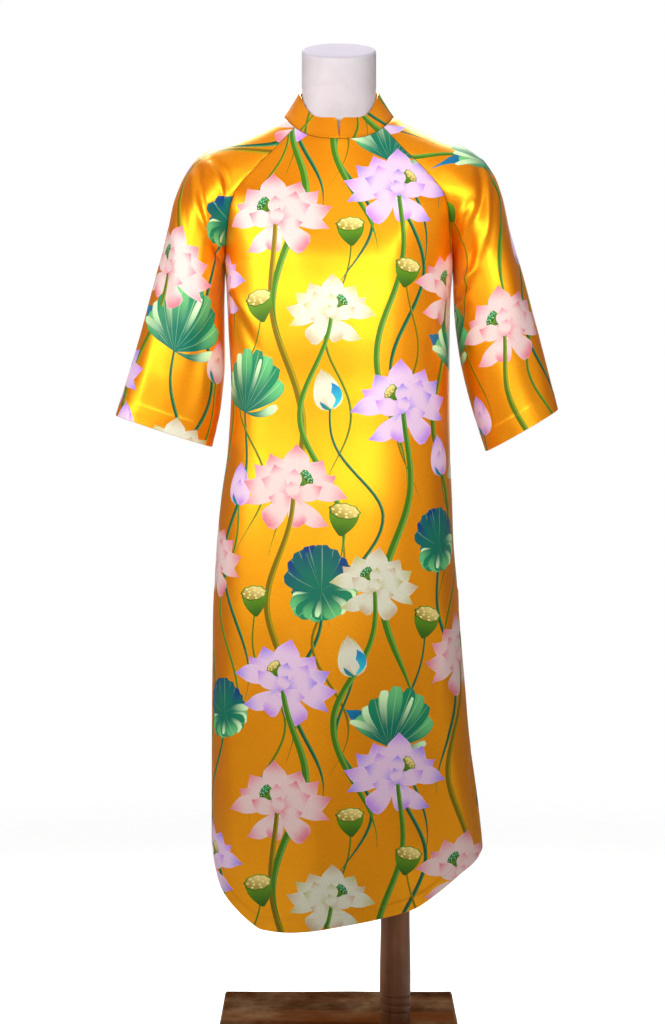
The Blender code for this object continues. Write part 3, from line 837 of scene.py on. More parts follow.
# angle from straight up, length, half width, bend, root x, root y, second deep colour, torn
PETALS_BEHIND = (
    (-31, 0.50, 0.150, 0.12, -0.03, 0.00, 1, 0), (34, 0.51, 0.150, -0.12, 0.04, 0.00, 0, 0),
    (3, 0.57, 0.155, 0.04, 0.00, 0.02, 0, 0), (-60, 0.50, 0.120, 0.14, -0.02, 0.00, 0, 0),
    (-90, 0.58, 0.110, -0.17, -0.03, -0.02, 1, 0), (62, 0.55, 0.125, -0.16, 0.03, 0.00, 1, 0),
    (86, 0.60, 0.120, -0.14, 0.04, -0.02, 0, 0), (113, 0.57, 0.085, 0.15, 0.05, -0.05, 1, 0),
    (-127, 0.55, 0.100, 0.22, 0.00, -0.06, 1, 0), (-160, 0.40, 0.100, 0.10, 0.01, -0.06, 0, 1),
    (150, 0.48, 0.130, -0.12, 0.05, -0.05, 0, 1),
)
PETALS_BEFORE = (
    (30, 0.34, 0.105, -0.14, 0.09, 0.00, 0, 0), (-2, 0.30, 0.095, 0.06, 0.03, -0.02, 1, 0),
    (68, 0.37, 0.105, 0.10, 0.06, -0.05, 1, 0), (-64, 0.35, 0.100, 0.18, 0.00, -0.05, 0, 0),
    (100, 0.26, 0.075, -0.16, 0.03, -0.08, 0, 0), (18, 0.23, 0.080, 0.06, -0.02, -0.10, 1, 0),
)
# angle from straight up, length, half width, bend, last colour
PLEATS = (
    (-70, 0.52, 0.060, 0.24, LEAF_PALE), (64, 0.62, 0.110, -0.05, LEAF_MID),
    (-44, 0.70, 0.130, 0.10, LEAF_MID), (48, 0.66, 0.090, -0.08, LEAF_PALE),
    (-30, 0.78, 0.100, 0.06, LEAF_DARK), (34, 0.70, 0.120, -0.06, LEAF_DARK),
    (-17, 0.82, 0.120, 0.05, LEAF_MID), (22, 0.78, 0.090, -0.04, LEAF_PALE),
    (-5, 0.84, 0.110, 0.02, LEAF_DARK), (9, 0.83, 0.110, -0.02, LEAF_MID),
    (-10, 0.74, 0.034, 0.03, LEAF_PALE), (73, 0.66, 0.052, 0.20, LEAF_PALE),
)


def petals(rows: Iterable[Sequence[float]], tint: Tint) -> list[Ink]:
    """Petals of an open blossom, from rows like those above."""
    made = []
    for angle, length, width, bend, x, y, deep, torn in rows:
        turn = math.radians(angle)
        tip = (x + length * math.sin(turn), y + length * math.cos(turn) * 0.86)
        made.append(blade((x, y), tip, width, bend, Dye.PETAL, tint.pale, tint.other if deep else tint.deep,
                          TORN_WIDTHS if torn else PETAL_WIDTHS, 12))
    return made


def blossom_shapes(tint: Tint, mirrored: bool) -> tuple[list[Ink], list[Ink]]:
    """An open lotus in its own frame, about one unit wide.

    Args:
        tint: Its colours.
        mirrored: True for the blossom that opens to the other side.

    Returns:
        The petals behind the stem and those before it, lowest first.
    """
    pod = pod_shapes(0.17, (-0.10, 0.13), -48.0, tint is not Flower.LILAC.value)
    pearl = ring((0.0, -0.14), (0.018, 0.018), 8, tint.pale, PEARL)
    flip = np.diag([-1.0 if mirrored else 1.0, 1.0])
    behind, before = petals(PETALS_BEHIND, tint) + [pearl], pod + petals(PETALS_BEFORE, tint)
    return [ink.moved(flip, 0.0) for ink in behind], [ink.moved(flip, 0.0) for ink in before]


def bud_shapes(tint: Tint) -> list[Ink]:
    """A closed bud with folded petals, one unit high."""
    rows: list[tuple[Any, ...]] = [
        ((0.0, 0.0), (-0.16, 0.90), 0.26, 0.14, Dye.PETAL, tint.pale, tint.other, BUD_WIDTHS),
        ((0.0, 0.0), (0.02, 0.92), 0.28, -0.12, Dye.PETAL, tint.pale, tint.other, BUD_WIDTHS),
        ((0.0, 0.0), (-0.07, 1.0), 0.29, 0.02, Dye.PETAL, tint.pale, tint.deep, BUD_WIDTHS)]
    if tint is Flower.WHITE.value:
        rows += [((0.06, 0.02), (0.12, 0.62), 0.13, -0.36, Dye.PLAIN, CYAN, tint.side),
                 ((0.02, 0.02), (0.10, 0.36), 0.11, 0.16, Dye.PLAIN, tint.pale, tint.pale)]
    else:
        rows += [((0.05, 0.02), (0.12, 0.76), 0.15, -0.20, Dye.PETAL, tint.pale, tint.side, BUD_WIDTHS),
                 ((-0.02, 0.03), (-0.03, 0.60), 0.14, 0.08, Dye.PETAL, tint.pale, tint.deep)]
    rows.append(((0.02, -0.04), (-0.24, 0.22), 0.05, 0.20, Dye.PLAIN, LEAF_DARK, BLUE, PETAL_WIDTHS, 6))
    return [blade(*row) for row in rows]


def leaf_shapes(open_wide: bool) -> list[Ink]:
    """A lotus leaf that folds up from its stem, about one unit wide.

    Args:
        open_wide: True for a leaf that shows a broad dark underside.

    Returns:
        The shapes, lowest first.
    """
    made, fans = [], ((1.15, 0.62, 0.95), (1.25, 0.62, -0.62))
    if not open_wide:
        made.append(blade((0.18, 0.30), (0.74, 0.34), 0.100, -0.16, Dye.PLAIN, NAVY, BLUE, PETAL_WIDTHS, 12))
        fans = ((1.0, 1.0, 1.0),)
    for spread, shrink, up in fans:
        under = open_wide and up > 0.0
        for angle, length, width, bend, last in PLEATS:
            turn = math.radians(angle * spread)
            tip = (shrink * length * math.sin(turn), shrink * length * math.cos(turn) * up)
            tone = (NAVY if last is LEAF_DARK else UNDER) if under else last
            made.append(blade((0.0, 0.0), tip, width, bend, Dye.LEAF, LEAF_DEEP, tone, FAN_WIDTHS, 10))
    return made


def stem_shape(top: Sequence[float], length: float, sway: float, turns: float, start: float,
               width: float, tone: StemTone) -> Ink:
    """A winding stem that hangs down from a flower or leaf.

    Args:
        top: Its upper end.
        length: How far down it goes.
        sway: How far it winds to each side.
        turns: Number of bends, in full waves.
        start: Phase of the first bend in degrees.
        width: Its thickness at the top.
        tone: Its two tones.

    Returns:
        The shape.
    """
    t = np.linspace(0.0, 1.0, max(8, int(length / STEM_STEP)))
    phase = math.radians(start)
    wave = np.sin(phase + FULL_TURN * turns * t) - math.sin(phase)
    spine = np.stack([top[0] + sway * wave * ease(t, -0.15, 0.5), top[1] - length * t], axis=1)
    swell = 0.9 + 0.5 * np.sin(math.pi * t) + 0.1 * t
    half = 0.5 * width * swell * (0.12 + 0.88 * (1.0 - ease(t, 0.72, 1.0)))
    return stroke(spine, half, Dye.STEM, *tone.value)


class Kind(Enum):
    """What is printed, in the order in which it is laid down."""

    LEAF = 1
    POD = 2
    BUD = 3
    BLOSSOM = 4


STEM_STEP = 0.009
LILAC, PINK, PALE = Flower.LILAC, Flower.PINK, Flower.WHITE
BRIGHT, OLIVE, DARK, MOSS = StemTone
# tint, x, y, size, lean, form, stem length, sway, waves, phase, stem width, tone
PLANTS = {
    Kind.LEAF: (
        (None, -0.14, 0.895, 0.104, 12, 0, 0.4, 0.025, 1.3, 30, 0.004, DARK),
        (None, 0.15, 0.712, 0.106, -10, 1, 0.34, 0.02, 1.2, 200, 0.0042, DARK),
        (None, -0.168, 0.48, 0.1, -14, 1, 0.3, 0.022, 1.1, 100, 0.0038, DARK),
        (None, 0.07, 0.44, 0.1, 16, 0, 0.36, 0.027, 1.2, 280, 0.004, DARK),
        (None, 0.262, 1.14, 0.104, -12, 1, 0.38, 0.018, 1.4, 140, 0.004, DARK),
        (None, 0.272, 0.66, 0.098, 8, 0, 0.3, 0.015, 1.3, 0, 0.0036, MOSS),
        (None, -0.024, 0.655, 0.125, -10, 1, 0.3, 0.022, 1.2, 60, 0.004, DARK),
        (None, 0.206, 0.95, 0.112, 9, 0, 0.3, 0.02, 1.3, 250, 0.0038, DARK),
    ),
    Kind.POD: (
        (None, -0.11, 1.03, 0.04, -14, 0, 0.34, 0.03, 1.3, 130, 0.0026, MOSS),
        (None, 0.092, 1.075, 0.036, 12, 0, 0.3, 0.02, 1.2, 340, 0.0026, OLIVE),
        (None, 0.004, 0.742, 0.04, 10, 0, 0.34, 0.025, 1.4, 40, 0.0028, OLIVE),
        (None, -0.118, 0.63, 0.038, -8, 0, 0.3, 0.027, 1.2, 220, 0.0026, MOSS),
        (None, 0.122, 0.6, 0.04, 14, 0, 0.33, 0.022, 1.1, 110, 0.0028, DARK),
        (None, -0.262, 0.86, 0.038, -6, 0, 0.3, 0.015, 1.3, 10, 0.0026, OLIVE),
        (None, 0.276, 0.505, 0.038, 8, 0, 0.28, 0.013, 1.2, 150, 0.0026, MOSS),
        (None, 0.016, 1.13, 0.036, -4, 0, 0.36, 0.02, 1.5, 90, 0.0026, MOSS),
    ),
    Kind.BUD: (
        (PALE, -0.012, 0.905, 0.056, -10, 0, 0.3, 0.037, 1.1, 250, 0.0032, DARK),
        (LILAC, -0.148, 0.775, 0.058, 8, 0, 0.32, 0.02, 1.3, 60, 0.003, BRIGHT),
        (LILAC, 0.156, 0.815, 0.056, -6, 0, 0.26, 0.025, 1.0, 300, 0.003, MOSS),
        (PALE, 0.02, 0.545, 0.056, -6, 0, 0.3, 0.03, 1.2, 170, 0.0032, DARK),
        (PINK, 0.274, 0.93, 0.058, 10, 0, 0.34, 0.015, 1.4, 20, 0.003, BRIGHT),
        (PALE, -0.262, 1.18, 0.056, -12, 0, 0.28, 0.018, 1.2, 90, 0.003, DARK),
        (LILAC, -0.272, 0.56, 0.056, 5, 0, 0.28, 0.015, 1.3, 210, 0.003, BRIGHT),
    ),
    Kind.BLOSSOM: (
        (PINK, -0.085, 1.16, 0.12, -8, 0, 0.46, 0.027, 1.1, 200, 0.0068, OLIVE),
        (LILAC, 0.08, 1.2, 0.117, 6, 1, 0.4, 0.022, 1.2, 20, 0.0059, BRIGHT),
        (PALE, -0.01, 1.03, 0.099, 4, 1, 0.36, 0.033, 1.0, 150, 0.0055, BRIGHT),
        (PINK, 0.175, 1.06, 0.115, 10, 0, 0.42, 0.02, 1.4, 70, 0.0064, MOSS),
        (LILAC, -0.205, 1.07, 0.111, -4, 1, 0.38, 0.018, 1.3, 240, 0.0051, BRIGHT),
        (LILAC, 0.088, 0.905, 0.122, -6, 0, 0.43, 0.025, 1.2, 10, 0.0072, BRIGHT),
        (PINK, -0.062, 0.79, 0.122, 7, 1, 0.37, 0.022, 1.1, 120, 0.0064, OLIVE),
        (PALE, 0.232, 0.815, 0.096, -9, 0, 0.33, 0.019, 1.2, 310, 0.0047, BRIGHT),
        (PALE, 0.048, 0.662, 0.101, 5, 0, 0.36, 0.03, 1.1, 60, 0.0059, BRIGHT),
        (PINK, -0.212, 0.69, 0.113, -5, 0, 0.35, 0.016, 1.4, 180, 0.0055, MOSS),
        (LILAC, -0.078, 0.528, 0.12, 9, 0, 0.34, 0.025, 1.0, 330, 0.0072, BRIGHT),
        (PINK, 0.196, 0.56, 0.117, -7, 1, 0.36, 0.021, 1.2, 90, 0.0059, OLIVE),
    ),
}


@dataclass(frozen=True)
class PrintedCloth:
    """The printed cloth before it is cut: one repeat of lotus plants, again and again."""

    width: float = 0.60
    height: float = 0.80
    ground: Colour = (0.80, 0.135, 0.001)
    copies: range = range(-3, 4)

    def heads(self, kind: Kind, tint: Flower | None, form: bool) -> tuple[list[Ink], list[Ink]]:
        """What stands at the top of a stem, in its own frame.

        Args:
            kind: What it is.
            tint: A blossom's or bud's colours.
            form: True for its second form.

        Returns:
            The shapes behind the stem and those before it.
        """
        if kind is Kind.BLOSSOM:
            return blossom_shapes(tint.value, form)
        if kind is Kind.BUD:
            return [], [ink.moved(np.eye(2), (0.0, -0.1)) for ink in bud_shapes(tint.value)]
        return [], pod_shapes(1.0, (0.0, 0.2), 0.0, form) if kind is Kind.POD else leaf_shapes(form)

    def repeat(self) -> list[Ink]:
        """Shapes of one repeat: the stems, and then the leaves, pods, buds and blossoms."""
        stems, heads = [], []
        for kind, rows in PLANTS.items():
            for tint, x, y, size, lean, form, length, sway, waves, phase, width, tone in rows:
                stem = stem_shape((x, y), length, sway, waves, phase, width, tone)
                stems.append(stem)
                behind, before = self.heads(kind, tint, form == 1)
                flip = np.diag([-1.0 if lean > 0 and kind is Kind.LEAF else 1.0, 1.0])
                matrix = turned(lean) @ flip * size
                heads += [ink.moved(matrix, (x, y)) for ink in behind]
                if behind:
                    heads.append(stem.first(int(0.6 * size / STEM_STEP)))
                heads += [ink.moved(matrix, (x, y)) for ink in before]
        return stems + heads

    def over(self, low: Array, high: Array) -> list[Ink]:
        """Shapes that reach into a rectangle of the cloth.

        Args:
            low: Its lower left corner.
            high: Its upper right corner.

        Returns:
            The shapes, lowest first.
        """
        found = []
        for ink in self.repeat():
            least, most = ink.outline.min(axis=0), ink.outline.max(axis=0)
            for i, j in product(self.copies, repeat=2):
                shift = np.array([i * self.width, j * self.height])
                if (least + shift < high).all() and (most + shift > low).all():
                    found.append(ink.moved(np.eye(2), shift))
        return found


# ---- cut panels ----
ALL = slice(None)
BORDERS = ((0, ALL), (-1, ALL), (ALL, 0), (ALL, -1))
NEXT_IN = ((1, ALL), (-2, ALL), (ALL, 1), (ALL, -2))
SEAM_CALM, SEAM_ROLL, HEM_RISE = 0.016, 0.00045, 0.00040
LIP, MERGE, SEAM_READ = 0.42, 2e-6, 0.02


@dataclass(frozen=True)
class Fold:
    """A soft ridge or hollow in the cloth, as a line seen from the front or the back.

    Its ends are x and z in metres. A positive height stands out, and the width is half the ridge's.
    """

    start_x: float
    start_z: float
    end_x: float
    end_z: float
    width: float
    height: float
    bend: float = 0.0
    face: Face = Face.FRONT

    def rise(self, points: Array, normals: Array) -> Array:
        """How far the cloth is pushed out.

        Args:
            points: A grid of points.
            normals: The normals there.

        Returns:
            The rise of each point along its normal.
        """
        start = np.array((self.start_x, self.start_z))
        step = np.array((self.end_x, self.end_z)) - start
        length = float(np.linalg.norm(step))
        along = step / length
        flat = points[..., [0, 2]] - start
        t = (flat @ along) / length
        inside = np.clip(t, 0.0, 1.0)
        away = flat @ np.array([-along[1], along[0]]) - self.bend * 4.0 * inside * (1.0 - inside)
        beyond = np.maximum(np.abs(t - 0.5) - 0.5, 0.0) * length
        shape = np.exp(-((away ** 2 + beyond ** 2) / self.width ** 2) ** 0.85)
        taper = 0.35 + 0.65 * np.sin(math.pi * inside)
        return self.height * shape * taper * ease(normals[..., 1] * self.face.value, -0.25, 0.15)


def lengths(points: Array, axis: int) -> Array:
    """Running length of a grid of points along an axis, from 0 at its start."""
    step = np.linalg.norm(np.diff(points, axis=axis), axis=-1)
    zero = np.zeros_like(np.take(step, [0], axis=axis))
    return np.concatenate([zero, np.cumsum(step, axis=axis)], axis=axis)


def places(low: float, high: float, count: int, extra: Sequence[float], both: bool = True) -> Array:
    """Even places with finer ones near the ends.

    Args:
        low: The least.
        high: The greatest.
        count: Number of even steps.
        extra: Distances of the finer places from the ends.
        both: False to leave the low end as it is.

    Returns:
        The places in order.
    """
    even = np.linspace(low, high, count + 1)
    more = [even[-1] - value for value in extra] + ([even[0] + value for value in extra] if both else [])
    return np.unique(np.round(np.concatenate([even, more]), 9))


def closed_edges(start: int, count: int) -> list[tuple[int, int]]:
    """Edges of a closed outline whose points are numbered from start."""
    return [(start + i, start + (i + 1) % count) for i in range(count)]


def inside_outline(points: Array, outline: Array) -> Array:
    """Tell which flat points lie inside a closed outline.

    Args:
        points: The points, one a row.
        outline: The outline's points in order.

    Returns:
        True for each point inside.
    """
    turns = np.zeros(len(points), dtype=int)
    for a, b in zip(outline, np.roll(outline, -1, axis=0)):
        rising = (a[1] <= points[:, 1]) & (b[1] > points[:, 1])
        falling = (a[1] > points[:, 1]) & (b[1] <= points[:, 1])
        left = cross(b - a, points - a)
        turns += (rising & (left > 0.0)).astype(int) - (falling & (left < 0.0)).astype(int)
    return turns != 0


def shapes_over(middles: Array, inks: Sequence[Ink]) -> Array:
    """Find the printed shape that shows at flat points.

    Args:
        middles: The points, one a row.
        inks: The shapes, lowest first.

    Returns:
        Number of the last shape over each point, from 1, or 0 for the ground.
    """
    owner = np.zeros(len(middles), dtype=int)
    order = np.argsort(middles[:, 0])
    sorted_x = middles[order, 0]
    for number, ink in enumerate(inks, start=1):
        low, high = ink.outline.min(axis=0), ink.outline.max(axis=0)
        near = order[np.searchsorted(sorted_x, low[0]):np.searchsorted(sorted_x, high[0])]
        near = near[(middles[near, 1] >= low[1]) & (middles[near, 1] <= high[1])]
        if len(near):
            owner[near[inside_outline(middles[near], ink.outline)]] = number
    return owner


@dataclass
class PrintedFace:
    """The outer face of a panel on its flat pattern, with the outlines of the print cut into it."""

    flat: Array
    corners: Array
    owner: Array
    inks: Sequence[Ink]

    @classmethod
    def cut(cls, spread: Array, loop: Array, inks: Sequence[Ink]) -> "PrintedFace":
        """Triangulate a flat pattern.

        Args:
            spread: Points of the flat pattern, one a row.
            loop: Numbers of those round its border.
            inks: The printed shapes, lowest first.

        Returns:
            The face, with counterclockwise triangles.
        """
        inner = np.setdiff1d(np.arange(len(spread)), loop)
        parts, edges, start = [spread[loop], spread[inner]], closed_edges(0, len(loop)), len(spread)
        for ink in inks:
            parts.append(ink.outline)
            edges += closed_edges(start, len(ink.outline))
            start += len(ink.outline)
        found, _, triangles, _, _, _ = delaunay_2d_cdt(
            [Vector(point) for point in np.concatenate(parts).tolist()], edges, [], 0, MERGE, False)
        flat = np.array([(point.x, point.y) for point in found])
        corners = np.array(triangles)
        corners = corners[inside_outline(flat[corners].mean(axis=1), spread[loop])]
        owner = shapes_over(flat[corners].mean(axis=1), inks)
        used, corners = np.unique(corners, return_inverse=True)
        flat, corners = flat[used], corners.reshape(-1, 3)
        p, q, r = (flat[corners[:, i]] for i in range(3))
        back = cross(q - p, r - p) < 0.0
        corners[back] = corners[back][:, ::-1]
        return cls(flat, corners, owner, inks)

    def rim(self) -> Array:
        """Edges of the border, as pairs of point numbers in the way of their triangles."""
        edges = np.concatenate([self.corners[:, pair] for pair in ([0, 1], [1, 2], [2, 0])])
        _, first, count = np.unique(np.sort(edges, axis=1), axis=0, return_index=True, return_counts=True)
        return edges[first[count == 1]]

    def dye(self, mesh: Any, ground: Colour) -> None:
        """Write the colours and the place on each printed shape on a mesh's corners.

        Args:
            mesh: The mesh, whose first faces are this face's triangles.
            ground: Colour of the cloth where nothing is printed.
        """
        size = len(mesh.loops)
        root = np.ones((size, 4))
        root[:, :3] = ground
        tip, motif = root.copy(), np.zeros((size, 3))
        owner = np.repeat(self.owner, 3)
        spots = self.flat[self.corners.ravel()]
        order = np.argsort(owner, kind="stable")
        bounds = np.searchsorted(owner[order], np.arange(len(self.inks) + 2))
        for i, ink in enumerate(self.inks, start=1):
            mine = order[bounds[i]:bounds[i + 1]]
            if len(mine):
                along, across = ink.coordinates(spots[mine])
                root[mine, :3], tip[mine, :3] = ink.root, ink.tip
                motif[mine] = np.stack([across, along, np.full(len(mine), ink.dye.value)], axis=1)
        for name, kind, key, values in (("dye_root", "FLOAT_COLOR", "color", root),
                                        ("dye_tip", "FLOAT_COLOR", "color", tip),
                                        ("motif", "FLOAT_VECTOR", "vector", motif)):
            mesh.attributes.new(name, kind, "CORNER").data.foreach_set(key, values.ravel())


class Panel:
    """A cut piece of cloth: its place in the room, its flat pattern, and its neighbours."""

    def __init__(self, name: str, points: Array, flat: Array, sewn: Array,
                 cut_at: tuple[float, float], hem: float, hangs: bool = True, thickness: float = CLOTH) -> None:
        """Take the grid of a panel.

        Args:
            name: The piece's name.
            points: Rows from the top down and columns to the right, as seen from outside, in metres.
            flat: The same points on the flat pattern, right and up.
            sewn: True for each row whose side edges are sewn.
            cut_at: Where the pattern's zero lies on the printed cloth.
            hem: Width of the turned hem along free edges.
            hangs: True where the top is sewn and the bottom is free, False the other way round.
            thickness: The cloth's thickness with its turned edges.
        """
        self.name, self.points, self.flat, self.sewn = name, points, flat, sewn
        self.thickness, self.cut_at, self.hem = thickness, np.array(cut_at), hem
        down, right = lengths(points, 0), lengths(points, 1)
        far = np.full(points.shape[:2], 1.0)
        sides = np.minimum(right, right[:, -1:] - right)
        ends = (down, down[-1:] - down) if hangs else (down[-1:] - down, down)
        self.to_seam = np.minimum.reduce([np.where(sewn[:, None], sides, far), ends[0], far])
        self.to_free = np.minimum.reduce([np.where(sewn[:, None], far, sides), ends[1], far])
        self.mitre = self.normals()

    def normals(self) -> Array:
        """Directions out of the cloth at the grid's points."""
        return unit(np.cross(np.gradient(self.points, axis=0), np.gradient(self.points, axis=1)))

    def index(self) -> Array:
        """Numbers of the grid's points."""
        return np.arange(self.flat.shape[0] * self.flat.shape[1]).reshape(self.flat.shape[:2])

    def cells(self) -> Array:
        """Numbers of the four points of each of the grid's cells, one a row."""
        index = self.index()
        cells = np.stack([index[:-1, :-1], index[1:, :-1], index[1:, 1:], index[:-1, 1:]], axis=-1)
        return cells.reshape(-1, 4)

    def shape_cloth(self, folds: Iterable[Fold], ripples: float) -> None:
        """Push folds, ripples, seam rolls and hems into the grid; seams stay where they are.

        Args:
            folds: Soft ridges and hollows.
            ripples: Height of the long soft waves that grow towards the hem.
        """
        normals = self.normals()
        rise = np.zeros(self.points.shape[:2])
        for fold in folds:
            rise += fold.rise(self.points, normals)
        if ripples:
            u, z = self.flat[..., 0], self.points[..., 2]
            wave = np.sin(u * 26.0 + 0.6 + 1.6 * np.sin(z * 4.1))
            wave = wave + 0.5 * np.sin(u * 47.0 + 2.0 + 1.2 * np.sin(z * 6.3))
            rise += ripples * (0.25 + (1.0 - ease(z, 0.25, 0.95))) * wave
        rise *= ease(self.to_seam, 0.0, SEAM_CALM)
        rise += SEAM_ROLL * (ease(self.to_seam, 0.0, 0.0022) - ease(self.to_seam, 0.003, 0.014))
        hemmed = 1.0 - ease(self.to_free, self.hem - 0.0008, self.hem + 0.0016)
        rise += HEM_RISE * hemmed * ease(self.to_seam, 0.0, 0.003)
        self.points = self.points + normals * rise[..., None]
        self.mitre = self.normals()

    def loop(self) -> Array:
        """Numbers of the points round the panel, counterclockwise on its flat pattern."""
        index = self.index()
        return np.concatenate([index[-1, :-1], index[:0:-1, -1], index[0, :0:-1], index[:-1, 0]])

    def seek(self, flat: Array) -> tuple[Array, Array]:
        """Find flat points on the grid.

        Args:
            flat: Points of the flat pattern, one a row.

        Returns:
            Three point numbers and three weights for each.
        """
        cells = self.cells()
        triangles = np.concatenate([cells[:, [0, 1, 2]], cells[:, [0, 2, 3]]])
        spread = self.flat.reshape(-1, 2)
        corners = np.concatenate([spread, np.zeros((len(spread), 1))], axis=1)
        tree = BVHTree.FromPolygons(corners.tolist(), triangles.tolist())
        chosen = triangles[np.array([tree.find_nearest((x, y, 0.0))[2] for x, y in flat.tolist()])]
        p, q, r = (spread[chosen[:, i]] for i in range(3))
        area = cross(q - p, r - p)
        v, w = cross(flat - p, r - p) / area, cross(q - p, flat - p) / area
        weights = np.clip(np.stack([1.0 - v - w, v, w], axis=1), 0.0, 1.0)
        return chosen, weights / weights.sum(axis=1, keepdims=True)

    def read(self, grid: Array, sought: tuple[Array, Array]) -> Array:
        """Values of a grid at the points that seek found, one a row."""
        chosen, weights = sought
        return (grid.reshape(self.to_seam.size, -1)[chosen] * weights[..., None]).sum(axis=1)

    def outwards(self) -> Array:
        """Directions over each edge at the border's points, and nothing elsewhere."""
        way = np.zeros_like(self.points)
        for edge, inside in zip(BORDERS, NEXT_IN):
            way[edge] += unit(self.points[edge] - self.points[inside])
        return way

    def flat_size(self) -> tuple[float, float, float]:
        """Width, length and area of the flat pattern."""
        around = self.flat.reshape(-1, 2)[self.loop()]
        area = 0.5 * abs(float(cross(around, np.roll(around, -1, axis=0)).sum()))
        width, length = np.ptp(around, axis=0)
        return float(width), float(length), area

    def sew(self, printed: PrintedCloth, looks: Sequence[Any]) -> Any:
        """Make the panel's closed wall, with the print cut into its outer face.

        Args:
            printed: The cloth that it is cut from.
            looks: Materials of the outside and the inside.

        Returns:
            The object.
        """
        spread = self.flat.reshape(-1, 2)
        over = printed.over(spread.min(axis=0) + self.cut_at, spread.max(axis=0) + self.cut_at)
        face = PrintedFace.cut(spread, self.loop(), [ink.moved(np.eye(2), -self.cut_at) for ink in over])
        mesh = self.wall(face)
        face.dye(mesh, printed.ground)
        for look in looks:
            mesh.materials.append(look)
        count, slots = len(face.corners), np.zeros(len(mesh.polygons), dtype=np.int32)
        slots[count:2 * count] = 1
        mesh.polygons.foreach_set("material_index", slots)
        mesh.update()
        return placed(self.name, mesh)

    def wall(self, face: PrintedFace) -> Any:
        """Join the outer face, the inner face and a rolled rim into one closed mesh.

        Args:
            face: The outer face on the flat pattern.

        Returns:
            The mesh, with its pattern coordinates and its distances from the nearest seam.
        """
        sought, normals, way = self.seek(face.flat), self.normals(), self.outwards()
        drawn = self.points - way * SEAM
        stretch = 1.0 / np.maximum(0.6, (normals * self.mitre).sum(axis=-1, keepdims=True))
        lips = unit(way) * np.where(self.to_free < 1e-6, LIP * self.thickness, 1e-5)[..., None]
        outer, outward = self.read(drawn, sought), unit(self.read(normals, sought))
        inner = self.read(drawn - self.mitre * self.thickness * stretch, sought)
        corners, rim, total = face.corners, face.rim(), len(outer)
        border = np.unique(rim)
        lip = self.read(lips, sought)[border]
        middle = np.full(total, -1)
        middle[border] = 2 * total + np.arange(len(border))
        points = np.concatenate([outer, inner, 0.5 * (outer + inner)[border] + lip])
        a, b = rim[:, 0], rim[:, 1]
        quads = np.concatenate([np.stack([b, a, middle[a], middle[b]], axis=1),
                                np.stack([middle[b], middle[a], total + a, total + b], axis=1)])
        under = total + corners[:, ::-1]
        mesh = bpy.data.meshes.new(self.name)
        mesh.from_pydata(points.tolist(), [], corners.tolist() + under.tolist() + quads.tolist())
        mesh.shade_smooth()
        at = np.concatenate([corners.ravel(), under.ravel(), quads.ravel()])
        twin = np.concatenate([np.arange(total), np.arange(total), border])[at]
        over_edge = np.zeros_like(outer)
        over_edge[border] = unit(lip)
        corner_normals = np.concatenate([outward, -outward, unit(lip)])[at]
        rolled = slice(6 * len(corners), None)
        corner_normals[rolled] = unit(corner_normals[rolled] + over_edge[twin[rolled]])
        mesh.normals_split_custom_set(corner_normals.tolist())
        seam = self.read(np.minimum(self.to_seam, SEAM_READ), sought)[:, 0]
        mesh.uv_layers.new(name="pattern").data.foreach_set("uv", face.flat[twin].astype(np.float32).ravel())
        mesh.attributes.new("seam", "FLOAT", "CORNER").data.foreach_set("value", seam[twin])
        return mesh


